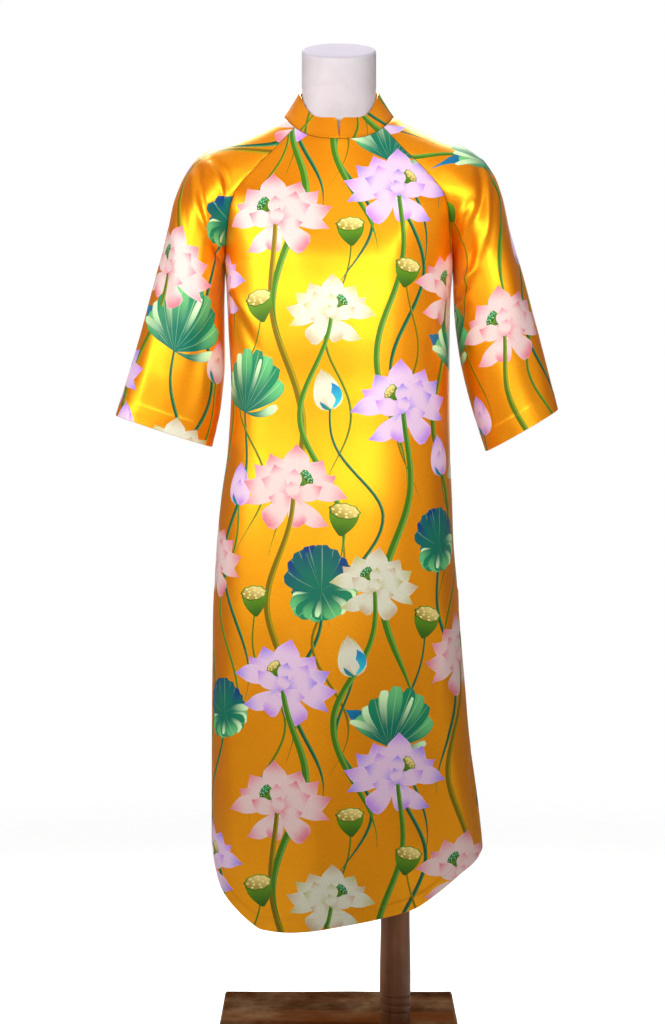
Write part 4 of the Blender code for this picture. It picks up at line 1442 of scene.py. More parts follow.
# ---- finishes ----
@dataclass(frozen=True)
class Satin:
    """Printed satin: warm long floats that shine, crisp print, fine grain and small creases, with painted shade
    along its seams.
    """

    name: str = "printed_satin"
    roughness: float = 0.38
    gilt: Colour = (0.98, 0.54, 0.012)
    shine: float = 0.50
    weave: float = 0.00035
    inside: bool = False
    inside_colour: Colour = srgb(206, 138, 40)

    def printed(self, bench: Bench, kinds: Term, across: Term, along: Term) -> Any:
        """Colour of the ground and the print.

        Args:
            bench: The material's tree.
            kinds: What is printed, by the values of Dye.
            across: Place across the shape, -1 to 1.
            along: Place along it, 0 to 1.

        Returns:
            The colour.
        """
        off = abs(across)
        petal, leaf, stem, plain = (kinds.near(dye.value) for dye in Dye)
        ends = along.between(0.58, 1.0).greatest((1.0 - along.between(0.0, 0.40)) * 0.80)
        petal_tone = ends * (1.0 - off.between(0.60, 1.0) * 0.45) + (across * 22.0).wave() * 0.012
        leaf_tone = along.between(0.30, 1.0) * (1.0 - off.between(0.72, 1.0) * 0.35)
        stem_tone = across.between(0.10, 0.42)
        tone = petal * petal_tone + leaf * leaf_tone + stem * stem_tone + plain * along.between(0.0, 1.0)
        root, tip = bench.attribute("dye_root", "Color"), bench.attribute("dye_tip", "Color")
        rib = leaf * (1.0 - off.between(0.0, 0.10)) * 0.30 + petal * (1.0 - off.between(0.0, 0.06)) * 0.08
        return bench.blend(rib, bench.blend(tone, root, tip), LEAF_PALE)

    def material(self) -> Any:
        """Build the material.

        Returns:
            The material.
        """
        bench = Bench(self.name)
        across, along, kinds = bench.parts(bench.attribute("motif", "Vector"))
        pattern = bench.made("ShaderNodeUVMap", uv_map="pattern")
        seam = Term(bench, bench.attribute("seam", "Fac"))
        cloud = bench.noise(pattern, 9.0, 4.0, 0.55)
        grain = bench.noise(pattern, 560.0, 2.0, 0.6, (1.0, 0.6, 1.0))
        light = 0.955 + cloud * 0.06 + (grain - 0.5) * 0.34
        # painted shade along the seams: the colour is about half as bright at a seam and recovers over 1.6 mm,
        # plus a further 7% darkening that fades out by 8 mm; the gilt layer below takes the same painted shade
        light = light * (0.52 + seam.between(0.0, 0.0016) * 0.48) * (0.93 + seam.between(0.002, 0.008) * 0.07)
        colour = bench.shaded(self.printed(bench, kinds, across, along), light)
        u, v, _ = bench.parts(pattern)
        warp = (u * (FULL_TURN / self.weave)).wave() * 0.5
        threads = warp + (v * (FULL_TURN / (self.weave * 2.4)) + u * 9000.0).wave() * 0.5
        crumple = bench.noise(pattern, 26.0, 5.0, 0.55, (1.0, 0.55, 1.0))
        soft = bench.relief(crumple, 0.0011, 0.55)
        normal = bench.relief(threads * 0.5 + grain * 0.9, 0.00003, 0.5, Normal=soft)
        rough = self.roughness + (cloud - 0.5) * 0.08 + (grain - 0.5) * 0.10
        if self.inside:
            colour, rough = bench.blend(0.82, colour, self.inside_colour), rough + 0.22
        else:
            bench.lay_over((1.0 - kinds.between(0.2, 0.8)) * self.shine, Metallic=1.0, Roughness=rough,
                           Base_Color=bench.shaded(self.gilt, light), Normal=normal)
        return bench.finish(Base_Color=colour, Roughness=rough, Metallic=0.05, Normal=normal,
                            Specular_IOR_Level=0.25, Specular_Tint=(1.0, 0.86, 0.50),
                            Sheen_Weight=0.04, Sheen_Roughness=0.45, Sheen_Tint=(1.0, 0.62, 0.08))


@dataclass(frozen=True)
class Thread:
    """Sewing thread, twisted, a shade deeper than the cloth."""

    name: str = "sewing_thread"
    colour: Colour = srgb(214, 140, 10)

    def material(self) -> Any:
        """Build the material.

        Returns:
            The material.
        """
        bench = Bench(self.name)
        twist = bench.noise(bench.place(), 1600.0, 2.0)
        return bench.finish(Base_Color=bench.shaded(self.colour, 0.82 + twist * 0.36), Sheen_Weight=0.2,
                            Roughness=0.42 + twist * 0.2, Normal=bench.relief(twist, 0.0001, 0.6))


@dataclass(frozen=True)
class FormCoat:
    """Smooth white lacquer over the moulded form, a little pink, with faint rubs and dust, and painted shade on
    its flat cap.
    """

    name: str = "form_coat"
    colour: Colour = srgb(202, 196, 200)
    cloudy: Colour = srgb(192, 180, 187)
    # colour of the flat cap on top: painted shade, darker and a little bluer than the neck
    cap: Colour = srgb(188, 182, 194)

    def material(self) -> Any:
        """Build the material.

        Returns:
            The material.
        """
        bench = Bench(self.name)
        place = bench.place()
        clouds = bench.noise(place, 14.0, 4.0, 0.6)
        specks = bench.noise(place, 420.0, 2.0, 0.7)
        rubs = bench.noise(place, 60.0, 3.0, 0.6, (0.4, 0.4, 2.6))
        colour = bench.blend(clouds.between(0.35, 0.75), self.colour, self.cloudy)
        colour = bench.shaded(colour, 1.0 - rubs.between(0.58, 0.80) * 0.05 - specks.between(0.66, 0.9) * 0.06)
        _, y, z = bench.parts(place)
        # painted shade: the cap's upward face takes the darker cap colour
        cap = (z - y * FORM_CAP_SLOPE).between(FORM_CAP_Z - 0.0024, FORM_CAP_Z - 0.0008)
        rough = 0.40 + (clouds - 0.5) * 0.16 + rubs.between(0.55, 0.8) * 0.10
        return bench.finish(Base_Color=bench.blend(cap, colour, self.cap), Roughness=rough,
                            Normal=bench.relief(specks * 0.5 + clouds, 0.00025, 0.35), Specular_IOR_Level=0.0)


@dataclass(frozen=True)
class Wood:
    """Stained wood with long grain, pores, worn patches, and edges (half x, half y, top z) that are rubbed."""

    name: str
    dark: Colour
    mid: Colour
    worn: Colour
    lengthwise: Spot
    roughness: float
    wear: float
    edges: Spot
    gloss: float = 0.35

    def material(self) -> Any:
        """Build the material.

        Returns:
            The material.
        """
        bench = Bench(self.name)
        place = bench.place()
        figure = bench.noise(place, 26.0, 5.0, 0.62, self.lengthwise)
        fibre = bench.noise(place, 190.0, 4.0, 0.65, self.lengthwise)
        pores = bench.noise(place, 520.0, 2.0, 0.6, self.lengthwise)
        patches, scuffs = bench.noise(place, 7.0, 4.0, 0.6), bench.noise(place, 38.0, 5.0, 0.72)
        base = bench.blend(figure.between(0.30, 0.72), self.dark, self.mid)
        base = bench.blend(fibre.between(0.52, 0.80) * 0.45, base, self.dark)
        worn = patches.between(0.40, 0.72) * (0.45 + scuffs.between(0.30, 0.70) * 0.55) * self.wear
        x, y, z = bench.parts(place)
        beyond = (abs(x) - self.edges[0]).greatest(abs(y) - self.edges[1])
        corner = beyond.between(-0.006, 0.0) * z.between(self.edges[2] - 0.006, self.edges[2])
        base = bench.blend(worn.greatest(corner * scuffs.between(0.30, 0.55) * self.wear), base, self.worn)
        colour = bench.shaded(base, 0.86 + fibre * 0.28 - pores.between(0.60, 0.80) * 0.30)
        relief = bench.relief(fibre * 0.6 + pores * 0.4 + figure * 0.5, 0.0005, 0.55)
        return bench.finish(Base_Color=colour, Roughness=self.roughness + worn * 0.20 + (fibre - 0.5) * 0.16,
                            Normal=relief, Specular_IOR_Level=self.gloss)


@dataclass(frozen=True)
class Paper:
    """Pale seamless paper for the floor; its glow is the camera's alone."""

    name: str = "studio_paper"
    colour: Colour = (0.80, 0.80, 0.805)
    fade: tuple[float, float] = (0.55, 1.9)
    glow: float = 0.68

    def material(self) -> Any:
        """Build the material.

        Returns:
            The material.
        """
        bench = Bench(self.name)
        place = bench.place()
        x, y, _ = bench.parts(place)
        seen = bench.node("ShaderNodeLightPath").outputs["Is Camera Ray"]
        glow = bench.made("ShaderNodeCombineXYZ", {0: seen, 1: seen, 2: seen})
        return bench.finish(Base_Color=bench.shaded(self.colour, 0.985 + bench.noise(place, 90.0) * 0.03),
                            Roughness=0.9, Specular_IOR_Level=0.05, Emission_Color=glow,
                            Alpha=1.0 - (x * x + y * y).between(self.fade[0] ** 2, self.fade[1] ** 2),
                            Emission_Strength=self.glow)


# ---- the tunic ----
# start x, start z, end x, end z, half width, height, bend where it has one
FRONT_FOLDS = {
    "tunic_front": (
        (0.137, 0.5, 0.15, 0.62, 0.01, 0.003), (0.12, 0.42, 0.134, 0.58, 0.016, -0.0022),
        (-0.15, 1.075, -0.118, 1.01, 0.007, 0.003), (-0.148, 1.05, -0.11, 0.975, 0.008, -0.0026),
        (0.15, 1.08, 0.12, 1.0, 0.009, 0.0028), (0.146, 1.05, 0.128, 0.96, 0.01, -0.0024),
        (-0.118, 1.19, -0.06, 1.11, 0.016, 0.002), (0.118, 1.19, 0.066, 1.105, 0.016, 0.0022),
        (-0.155, 0.52, -0.142, 0.28, 0.018, 0.0026), (0.07, 0.36, 0.096, 0.24, 0.024, 0.0028),
        (-0.04, 0.42, -0.03, 0.22, 0.03, 0.0024), (0.15, 0.44, 0.176, 0.3, 0.012, 0.0034),
        (0.182, 0.42, 0.1895, 0.29, 0.0022, -0.0024),
    ),
    "raglan_sleeve_left": (
        (-0.191, 1.228, -0.172, 1.138, 0.0062, -0.0052, -0.0055),
        (-0.2, 1.215, -0.17, 1.124, 0.006, 0.0044, -0.005),
        (-0.18, 1.195, -0.172, 1.146, 0.0042, 0.0036, -0.001),
        (-0.17, 1.238, -0.15, 1.184, 0.0062, -0.0052, 0.005),
        (-0.175, 1.232, -0.157, 1.186, 0.0046, 0.0034, 0.0035), (-0.176, 1.172, -0.156, 1.158, 0.006, -0.0034),
        (-0.1735, 1.128, -0.161, 1.1, 0.0036, -0.004), (-0.166, 1.128, -0.156, 1.098, 0.0042, 0.0032),
        (-0.212, 1.19, -0.205, 1.03, 0.0085, -0.003), (-0.224, 1.18, -0.216, 1.0, 0.009, 0.0036),
        (-0.236, 1.12, -0.246, 0.96, 0.01, -0.003), (-0.172, 1.08, -0.206, 1.0, 0.008, 0.0038),
        (-0.168, 1.05, -0.196, 0.96, 0.009, -0.0034), (-0.205, 1.01, -0.232, 0.89, 0.015, 0.0034),
        (-0.25, 1.0, -0.276, 0.9, 0.013, 0.003), (-0.182, 0.96, -0.196, 0.88, 0.012, 0.0026),
    ),
    "raglan_sleeve_right": (
        (0.198, 1.24, 0.188, 1.1, 0.0056, 0.0044, 0.01), (0.19, 1.228, 0.183, 1.15, 0.0066, -0.0048, 0.009),
        (0.2065, 1.225, 0.2045, 1.16, 0.0045, -0.0032, 0.004), (0.211, 1.23, 0.212, 1.13, 0.006, 0.0032, 0.003),
        (0.177, 1.18, 0.16, 1.146, 0.0046, 0.0038), (0.183, 1.176, 0.165, 1.122, 0.005, 0.004),
        (0.18, 1.135, 0.176, 1.09, 0.008, -0.005), (0.187, 1.092, 0.16, 1.052, 0.0056, 0.0046, -0.003),
        (0.176, 1.07, 0.158, 1.04, 0.005, -0.0046), (0.176, 1.058, 0.16, 1.035, 0.004, 0.003),
        (0.172, 1.04, 0.158, 1.01, 0.006, -0.004), (0.222, 1.15, 0.246, 1.01, 0.012, 0.0036),
        (0.236, 1.15, 0.262, 1.02, 0.012, -0.0026), (0.214, 1.0, 0.232, 0.88, 0.014, 0.0034),
        (0.255, 0.99, 0.276, 0.905, 0.013, -0.0028),
    ),
}
BACK_FOLDS = {
    "tunic_back": (
        (-0.09, 0.8, -0.11, 0.24, 0.026, 0.004), (0.01, 0.78, 0.018, 0.23, 0.03, 0.0036),
        (0.1, 0.82, 0.122, 0.25, 0.024, 0.004), (-0.12, 1.1, -0.04, 1.0, 0.018, 0.003),
        (0.12, 1.1, 0.04, 1.0, 0.018, 0.003), (-0.11, 0.93, 0.11, 0.925, 0.014, 0.0022),
        (-0.1, 0.895, 0.095, 0.89, 0.016, -0.0022),
    ),
    "raglan_sleeve_left": (
        (-0.18, 1.15, -0.2, 1.02, 0.011, 0.004), (-0.205, 1.13, -0.226, 0.98, 0.012, -0.0036),
        (-0.215, 1.0, -0.24, 0.88, 0.016, 0.0036),
    ),
    "raglan_sleeve_right": (
        (0.182, 1.15, 0.202, 1.02, 0.011, 0.004), (0.206, 1.13, 0.226, 0.98, 0.012, -0.0036),
        (0.215, 1.0, 0.24, 0.88, 0.016, 0.0036),
    ),
}
STANDS_FOR = {"tunic_front": "front_panel", "tunic_back": "back_panel", "stand_collar": "collar",
              "raglan_sleeve_left": "sleeve_left", "raglan_sleeve_right": "sleeve_right"}
RIPPLES = {"tunic_front": 0.0014, "tunic_back": 0.0024}
YOKE_ENDS, BODY_SIDES, SLEEVE_SIDES = (0.008, 0.016), (0.004, 0.010, 0.018, 0.030), (0.005, 0.012, 0.024)
HEM_LINES = (0.001, 0.003, 0.0085, 0.014, 0.0165, 0.0180, 0.0195, 0.022)
CUFF_LINES, CUFF_LENGTH = (0.001, 0.003, 0.010, 0.018, 0.022, 0.0245, 0.026, 0.0275, 0.030), 0.27
NEIGHBOUR = 0.0026


@dataclass
class Tunic:
    """The ao dai: a front and a back cut straight to the hem, two raglan sleeves and a collar."""

    yoke_rows: int = 52
    skirt_rows: int = 170
    body_columns: int = 92
    sleeve_columns: int = 150
    tube_rows: int = 80
    collar_rows: int = 10
    collar_columns: int = 180
    hem: float = 0.018
    cuff: float = 0.026
    panels: dict[str, Panel] = field(default_factory=dict)

    def yoke_run(self) -> Array:
        """Rows between the neck and the armpits."""
        return places(0.0, 1.0, self.yoke_rows, YOKE_ENDS)[:-1]

    def body_panel(self, face: Face, cut_at: tuple[float, float]) -> Panel:
        """Lay out the front or the back.

        Args:
            face: Which one.
            cut_at: Where it is cut from the printed cloth.

        Returns:
            The panel.
        """
        place = places(-1.0, 1.0, self.body_columns, BODY_SIDES)[None]
        near_hem = [value / (ARMPIT_Z - HEM_MEAN_Z) for value in HEM_LINES]
        skirt_run = places(0.0, 1.0, self.skirt_rows, near_hem, False)[:, None]
        points = np.concatenate([yoke_points(face, self.yoke_run()[:, None], place),
                                 skirt_points(face, skirt_run, place)])
        if face is Face.BACK:
            points = points[:, ::-1]
        u = lengths(points[..., :2], 1)
        middle = points.shape[1] // 2
        u -= u[:, middle:middle + 1]
        centre = points[::-1, middle]
        heights, arc = centre[:, 2], lengths(centre, 0)
        v = np.interp(points[..., 2], heights, arc)
        v += np.maximum(points[..., 2] - heights[-1], 0.0) + np.minimum(points[..., 2] - heights[0], 0.0)
        v += SLIT_TOP_Z - np.interp(SLIT_TOP_Z, heights, arc)
        return Panel("tunic_" + face.name.lower(), points, np.stack([u, v], axis=-1),
                     points[:, 0, 2] > SLIT_TOP_Z, cut_at, self.hem)

    def sleeve_panel(self, side: Side, cut_at: tuple[float, float]) -> Panel:
        """Lay out a raglan sleeve, sewn to itself under the arm.

        Args:
            side: Which sleeve.
            cut_at: Where it is cut from the printed cloth.

        Returns:
            The panel.
        """
        place = places(-1.0, 1.0, self.sleeve_columns, SLEEVE_SIDES)[None]
        near_cuff = [value / CUFF_LENGTH for value in CUFF_LINES]
        yoke_run = self.yoke_run()
        run = np.concatenate([yoke_run, 1.0 + places(0.0, 1.0, self.tube_rows, near_cuff, False)])
        points = sleeve_points(side, run[:, None], place)
        if side is Side.LEFT:
            points = points[:, ::-1]
        middle = points.shape[1] // 2
        top = points[:, middle]
        way = unit(top[-1] - top[len(yoke_run)])
        step = np.diff(points, axis=1)
        flat_step = np.sqrt(np.maximum((step ** 2).sum(axis=-1) - (step @ way) ** 2, 0.0))
        u = np.concatenate([np.zeros((len(run), 1)), np.cumsum(flat_step, axis=1)], axis=1)
        u -= u[:, middle:middle + 1]
        v = -(lengths(top, 0)[:, None] + (points - top[:, None]) @ way)
        return Panel("raglan_sleeve_" + side.name.lower(), points, np.stack([u, v], axis=-1),
                     np.ones(len(run), dtype=bool), cut_at, self.cuff)

    def collar_panel(self, cut_at: tuple[float, float]) -> Panel:
        """Lay out the stand collar, open at the centre front with small rounded corners.

        Args:
            cut_at: Where it is cut from the printed cloth.

        Returns:
            The panel.
        """
        angle = places(0.0, 360.0, self.collar_columns, (0.3, 0.7, 1.2, 3.0, 5.0))
        rise = places(0.0, 1.0, self.collar_rows, (0.02, 0.05))[::-1]
        low = NECKLINE.points(180.0 + (angle - 180.0) * 0.9975)
        high = COLLAR_EDGE.points(180.0 + (angle - 180.0) * 0.987)
        high[:, 2] -= COLLAR_NOTCH * (1.0 - ease(np.minimum(angle, 360.0 - angle), -0.6, 4.8))
        points = low[None] + (high - low)[None] * rise[:, None, None]
        u = lengths(points[len(rise) // 2], 0)
        height = np.linalg.norm(high - low, axis=-1)
        along = np.broadcast_to(u - u[-1] / 2, points.shape[:2])
        flat = np.stack([along, rise[:, None] * height[None]], axis=-1)
        sewn = np.zeros(len(rise), dtype=bool)
        return Panel("stand_collar", points, flat, sewn, cut_at, COLLAR_CLOTH, False, COLLAR_CLOTH)

    def cut(self) -> None:
        """Lay out all the panels, fold their cloth and mitre their walls where they are sewn."""
        laid = [self.body_panel(Face.FRONT, (0.0, 0.0)), self.body_panel(Face.BACK, (0.31, 0.37)),
                self.sleeve_panel(Side.LEFT, (0.12, 0.55)), self.sleeve_panel(Side.RIGHT, (-0.13, 0.26)),
                self.collar_panel((0.105, 0.43))]
        self.panels = {panel.name: panel for panel in laid}
        for name, panel in self.panels.items():
            folds = [Fold(*row) for row in FRONT_FOLDS.get(name, ())]
            folds += [Fold(*row, face=Face.BACK) for row in BACK_FOLDS.get(name, ())]
            panel.shape_cloth(folds, RIPPLES.get(name, 0.0))
        edges = []
        for panel in laid:
            normals = panel.normals()
            for cut in BORDERS:
                points = panel.points[cut].tolist()
                tree = KDTree(len(points))
                for i, point in enumerate(points):
                    tree.insert(point, i)
                tree.balance()
                edges.append((panel, cut, points, normals[cut], tree))
        for panel, cut, points, normals, own in edges:
            total = normals.copy()
            for _, _, _, others, tree in edges:
                for i, point in enumerate(points if tree is not own else ()):
                    _, near, distance = tree.find(point)
                    if distance < NEIGHBOUR:
                        total[i] += others[near]
            joint = unit(total)
            agree = ease((joint * normals).sum(axis=-1), 0.3, 0.6)[:, None]
            panel.mitre[cut] = unit(normals + (joint - normals) * agree)


# ---- sewing ----
@dataclass(frozen=True)
class StitchRow:
    """A row of machine stitches inside a panel's free edges."""

    panel: Panel
    inset: float
    sides: bool
    pitch: float = 0.0030
    length: float = 0.0023
    thickness: float = 0.00042
    lift: float = 0.0001

    def flat_lines(self) -> list[Array]:
        """Lines on the flat pattern inside the bottom edge, and up beside the slits."""
        bottom = self.panel.flat[-1].copy()
        bottom[:, 1] += self.inset
        if not self.sides:
            return [bottom]
        keep = (bottom[:, 0] > bottom[0, 0] + self.inset) & (bottom[:, 0] < bottom[-1, 0] - self.inset)
        lines = [bottom[keep]]
        for column, way in ((0, 1.0), (-1, -1.0)):
            line = self.panel.flat[~self.panel.sewn, column].copy()
            line[:, 0] += way * self.inset
            lines.append(line[line[:, 1] > line[-1, 1] + self.inset])
        return lines

    def sew(self, look: Any) -> Any:
        """Lay the stitches.

        Args:
            look: The thread's material.

        Returns:
            The object.
        """
        name = self.panel.name + "_stitches"
        seed = bpy.data.meshes.new(name + "_line")
        points, ups, edges = [], [], []
        for flat in self.flat_lines():
            sought = self.panel.seek(flat)
            up = unit(self.panel.read(self.panel.normals(), sought))
            line = self.panel.read(self.panel.points, sought) + up * self.lift
            edges += [(len(points) + i, len(points) + i + 1) for i in range(len(line) - 1)]
            points += line.tolist()
            ups += up.tolist()
        seed.from_pydata(points, edges, [])
        seed.attributes.new("up", "FLOAT_VECTOR", "POINT").data.foreach_set("vector", np.array(ups).ravel())
        sizes = {"Pitch": self.pitch, "Length": self.length, "Thickness": self.thickness}
        recipe = Recipe(name, sizes, seed, look)
        given = recipe.given
        spots = recipe.made("GeometryNodeResampleCurve", {"Curve": recipe.path, "Length": given["Pitch"]},
                            mode="LENGTH")
        ball = recipe.made("GeometryNodeMeshUVSphere", {"Segments": 6, "Rings": 5, "Radius": 0.5})
        scale = recipe.made("ShaderNodeCombineXYZ", {
            0: given["Length"], 1: given["Thickness"], 2: given["Thickness"]})
        thread = recipe.made("GeometryNodeTransform", {"Geometry": ball, "Scale": scale})
        tangent = recipe.made("GeometryNodeInputTangent")
        raised = recipe.made("GeometryNodeInputNamedAttribute", {"Name": "up"}, data_type="FLOAT_VECTOR")
        turn = recipe.made("FunctionNodeAxesToRotation", {0: tangent, 1: raised},
                           primary_axis="X", secondary_axis="Z")
        return recipe.grow(recipe.made("GeometryNodeInstanceOnPoints", {
            "Points": spots, "Instance": thread, "Rotation": turn}))


# ---- the stand ----
@dataclass
class BodyForm:
    """Limbless torso with a tall neck and a flat tilted cap, kept clear of the cloth around it."""

    columns: int = 112
    rings: int = 96
    shoulder_rings: int = 40
    cap_round: float = 0.003

    def cloth(self, panels: Iterable[Panel]) -> Any:
        """Search tree over the inner faces of the cloth."""
        points: list[Any] = []
        faces: list[Any] = []
        for panel in panels:
            faces += (panel.cells() + len(points)).tolist()
            points += (panel.points - panel.mitre * panel.thickness).reshape(-1, 3).tolist()
        return BVHTree.FromPolygons(points, faces)

    def ring_points(self, height: float, cloth: Any) -> list[Vector]:
        """One level ring of the torso, held inside the cloth.

        Args:
            height: Its height.
            cloth: The search tree over the cloth.

        Returns:
            Its points.
        """
        half_width, front_y, back_y = (float(Curve(FORM, column)(height)) for column in (1, 2, 3))
        shoulder = float(ease(height, 1.18, 1.225))
        centre = Vector((0.0, 0.0, height))
        made = []
        for turn in self.turns():
            depth = front_y if math.cos(turn) > 0.0 else -back_y
            point = Vector((half_width * math.sin(turn), depth * math.cos(turn), height))
            direction = (point - centre).normalized()
            rests = shoulder * float(ease(abs(direction.x), 0.80, 0.98))
            hit, normal, _, limit = cloth.ray_cast(centre, direction, 1.0)
            if hit is not None:
                limit -= (LOOSE_GAP + (REST_GAP - LOOSE_GAP) * rests) / max(0.25, abs(normal.dot(direction)))
                if limit < (point - centre).length:
                    point = centre + direction * limit
            made.append(point)
        return made

    def turns(self) -> list[float]:
        """Angles of the columns, in radians."""
        return [FULL_TURN * i / self.columns for i in range(self.columns)]

    def cap_ring(self, radius: float, drop: float, share: float = 1.0,
                 start: Sequence[Vector] = ()) -> list[Vector]:
        """A ring of the neck or its cap.

        Args:
            radius: Distance from the neck's middle line.
            drop: How far below the cap's plane.
            share: 1 on the cap and less on the way up to it.
            start: The ring that the way up starts from.

        Returns:
            Its points.
        """
        made = []
        for i, turn in enumerate(self.turns()):
            x, y = radius * math.sin(turn), -radius * math.cos(turn)
            height = FORM_CAP_Z + FORM_CAP_SLOPE * y - drop
            made.append(Vector((x, y, start[i].z + (height - start[i].z) * share if share < 1.0 else height)))
        return made

    def build(self, panels: Iterable[Panel], look: Any) -> Any:
        """Make the form.

        Args:
            panels: The cloth around it.
            look: Its material.

        Returns:
            The object.
        """
        cloth = self.cloth(panels)
        low, high = FORM[0][0], FORM[-1][0]
        heights = np.unique(np.concatenate([np.linspace(low, high, self.rings),
                                            np.linspace(1.22, high, self.shoulder_rings)]))
        torso = [self.ring_points(float(height), cloth) for height in heights]
        rings = [[Vector((p.x * share, p.y * share, FORM_BOTTOM_Z + lift)) for p in torso[0]]
                 for share, lift in ((0.30, 0.0), (0.70, 0.0), (0.90, 0.0), (0.945, 0.0008),
                                     (0.975, 0.0030), (0.992, 0.0065), (1.0, 0.010))]
        rings += torso[1:]
        rings += [self.cap_ring(FORM_NECK_RADIUS, self.cap_round, float(share), torso[-1])
                  for share in np.linspace(0.08, 1.0, 12)]
        for step in range(1, 6):
            turn = math.pi / 2 * step / 5
            inset, drop = self.cap_round * (1.0 - math.cos(turn)), self.cap_round * (1.0 - math.sin(turn))
            rings.append(self.cap_ring(FORM_NECK_RADIUS - inset, drop))
        rings += [self.cap_ring((FORM_NECK_RADIUS - self.cap_round) * share, 0.0)
                  for share in (0.94, 0.8, 0.55, 0.28)]
        points = [tuple(point) for one in rings for point in one]
        points += [(0.0, 0.0, FORM_BOTTOM_Z), (0.0, 0.0, FORM_CAP_Z)]
        last, pole, count = (len(rings) - 1) * self.columns, len(points) - 2, self.columns
        pairs = [(i, (i + 1) % count) for i in range(count)]
        faces = [(low + i, low + j, low + count + j, low + count + i)
                 for low in range(0, last, count) for i, j in pairs]
        faces += [(pole, j, i) for i, j in pairs] + [(pole + 1, last + i, last + j) for i, j in pairs]
        return plain_mesh("body_form", points, faces, look, 60.0)


@dataclass
class TurnedPost:
    """Turned wooden post with three cut rings near its foot, made by a rule from a line."""

    sides: int = 72
    foot: float = BASE_SIZE[2] + JOINT_GAP
    top: float = FORM_BOTTOM_Z - JOINT_GAP
    taper_start: float = GROOVE_HEIGHTS[-1] + 0.020
    taper_length: float = 0.100

    def build(self, look: Any) -> Any:
        """Make the post.

        Args:
            look: Its material.

        Returns:
            The object.
        """
        fine = [np.linspace(height - 0.006, height + 0.006, 25) for height in GROOVE_HEIGHTS]
        heights = np.unique(np.concatenate([np.linspace(self.foot, self.top, 60), *fine,
                                            self.foot + np.linspace(0.0, 0.003, 7)]))
        seed = bpy.data.meshes.new("turned_post_line")
        edges = [(i, i + 1) for i in range(len(heights) - 1)]
        seed.from_pydata([(POST_X, 0.0, float(z)) for z in heights], edges, [])
        recipe = Recipe("turned_post", {"Foot radius": POST_FOOT_RADIUS, "Top radius": POST_TOP_RADIUS,
                                        "Groove depth": GROOVE_DEPTH, "Groove width": GROOVE_HALF_WIDTH,
                                        "Sides": self.sides}, seed, look)
        given = recipe.given
        _, _, z = recipe.parts(recipe.made("GeometryNodeInputPosition"))
        radius = z.between(self.taper_start, self.taper_start + self.taper_length,
                           given["Foot radius"], given["Top radius"])
        for height in GROOVE_HEIGHTS:
            radius = radius - abs(z - height).between(0.0003, given["Groove width"], given["Groove depth"], 0.0)
        radius = radius - z.between(self.foot, self.foot + 0.0015, 0.0010, 0.0)
        round_line = recipe.made("GeometryNodeCurvePrimitiveCircle",
                                 {"Resolution": given["Sides"], "Radius": 1.0})
        piece = recipe.grow(recipe.made("GeometryNodeCurveToMesh", {
            "Curve": recipe.path, "Profile Curve": round_line, "Scale": radius, "Fill Caps": True}))
        smoothed(piece.data, 55.0)
        return piece


@dataclass
class BaseBoard:
    """Rectangular wooden board with eased edges and slightly uneven worn faces."""

    across: int = 44
    bevel: float = BASE_EDGE
    low_bevel: float = 0.0008
    unevenness: float = 0.00018

    def build(self, look: Any) -> Any:
        """Make the board.

        Args:
            look: Its material.

        Returns:
            The object.
        """
        shape, thick = bmesh.new(), BASE_SIZE[2]
        bmesh.ops.create_cube(shape, size=1.0)
        bmesh.ops.scale(shape, vec=BASE_SIZE, verts=shape.verts)
        bmesh.ops.translate(shape, vec=(0.0, 0.0, thick / 2), verts=shape.verts)
        eased = [edge for edge in shape.edges if sum(v.co.z for v in edge.verts) > thick * 0.5]
        bmesh.ops.bevel(shape, geom=eased, offset=self.bevel, segments=5, profile=0.5, affect="EDGES")
        low = [edge for edge in shape.edges if all(v.co.z < 1e-6 for v in edge.verts)]
        bmesh.ops.bevel(shape, geom=low, offset=self.low_bevel, segments=2, profile=0.5, affect="EDGES")
        for i in range(1, self.across):
            at = BASE_SIZE[0] / 2 * (2.0 * i / self.across - 1.0)
            for normal in ((1.0, 0.0, 0.0), (0.0, 1.0, 0.0)):
                cut = [*shape.verts, *shape.edges, *shape.faces]
                bmesh.ops.bisect_plane(shape, geom=cut, plane_co=tuple(at * n for n in normal), plane_no=normal)
        for vertex in shape.verts:
            x, y, z = vertex.co
            if z > thick * 0.5:
                wave = math.sin(x * 34.0 + 1.3) * math.sin(y * 27.0 + 0.4) + 0.6 * math.sin(x * 71.0 - y * 53.0)
                vertex.co.z -= self.unevenness * (1.6 + wave)
        mesh = bpy.data.meshes.new("base_board")
        shape.to_mesh(mesh)
        shape.free()
        smoothed(mesh, 40.0).materials.append(look)
        return placed("base_board", mesh)


# ---- the studio ----
@dataclass(frozen=True)
class SoftLight:
    """A large soft light aimed at a point."""

    name: str
    at: Spot
    aim: Spot
    size: tuple[float, float]
    power: float
    spread: float = 180.0
    colour: Colour = WARM

    def place(self) -> None:
        """Put the light in the scene."""
        lamp = bpy.data.lights.new(self.name, "AREA")
        lamp.shape = "RECTANGLE"
        lamp.size, lamp.size_y = self.size
        lamp.energy, lamp.color, lamp.spread = self.power, self.colour, math.radians(self.spread)
        item = placed(self.name, lamp)
        item.location = self.at
        item.rotation_euler = (Vector(self.aim) - Vector(self.at)).to_track_quat("-Z", "Y").to_euler()


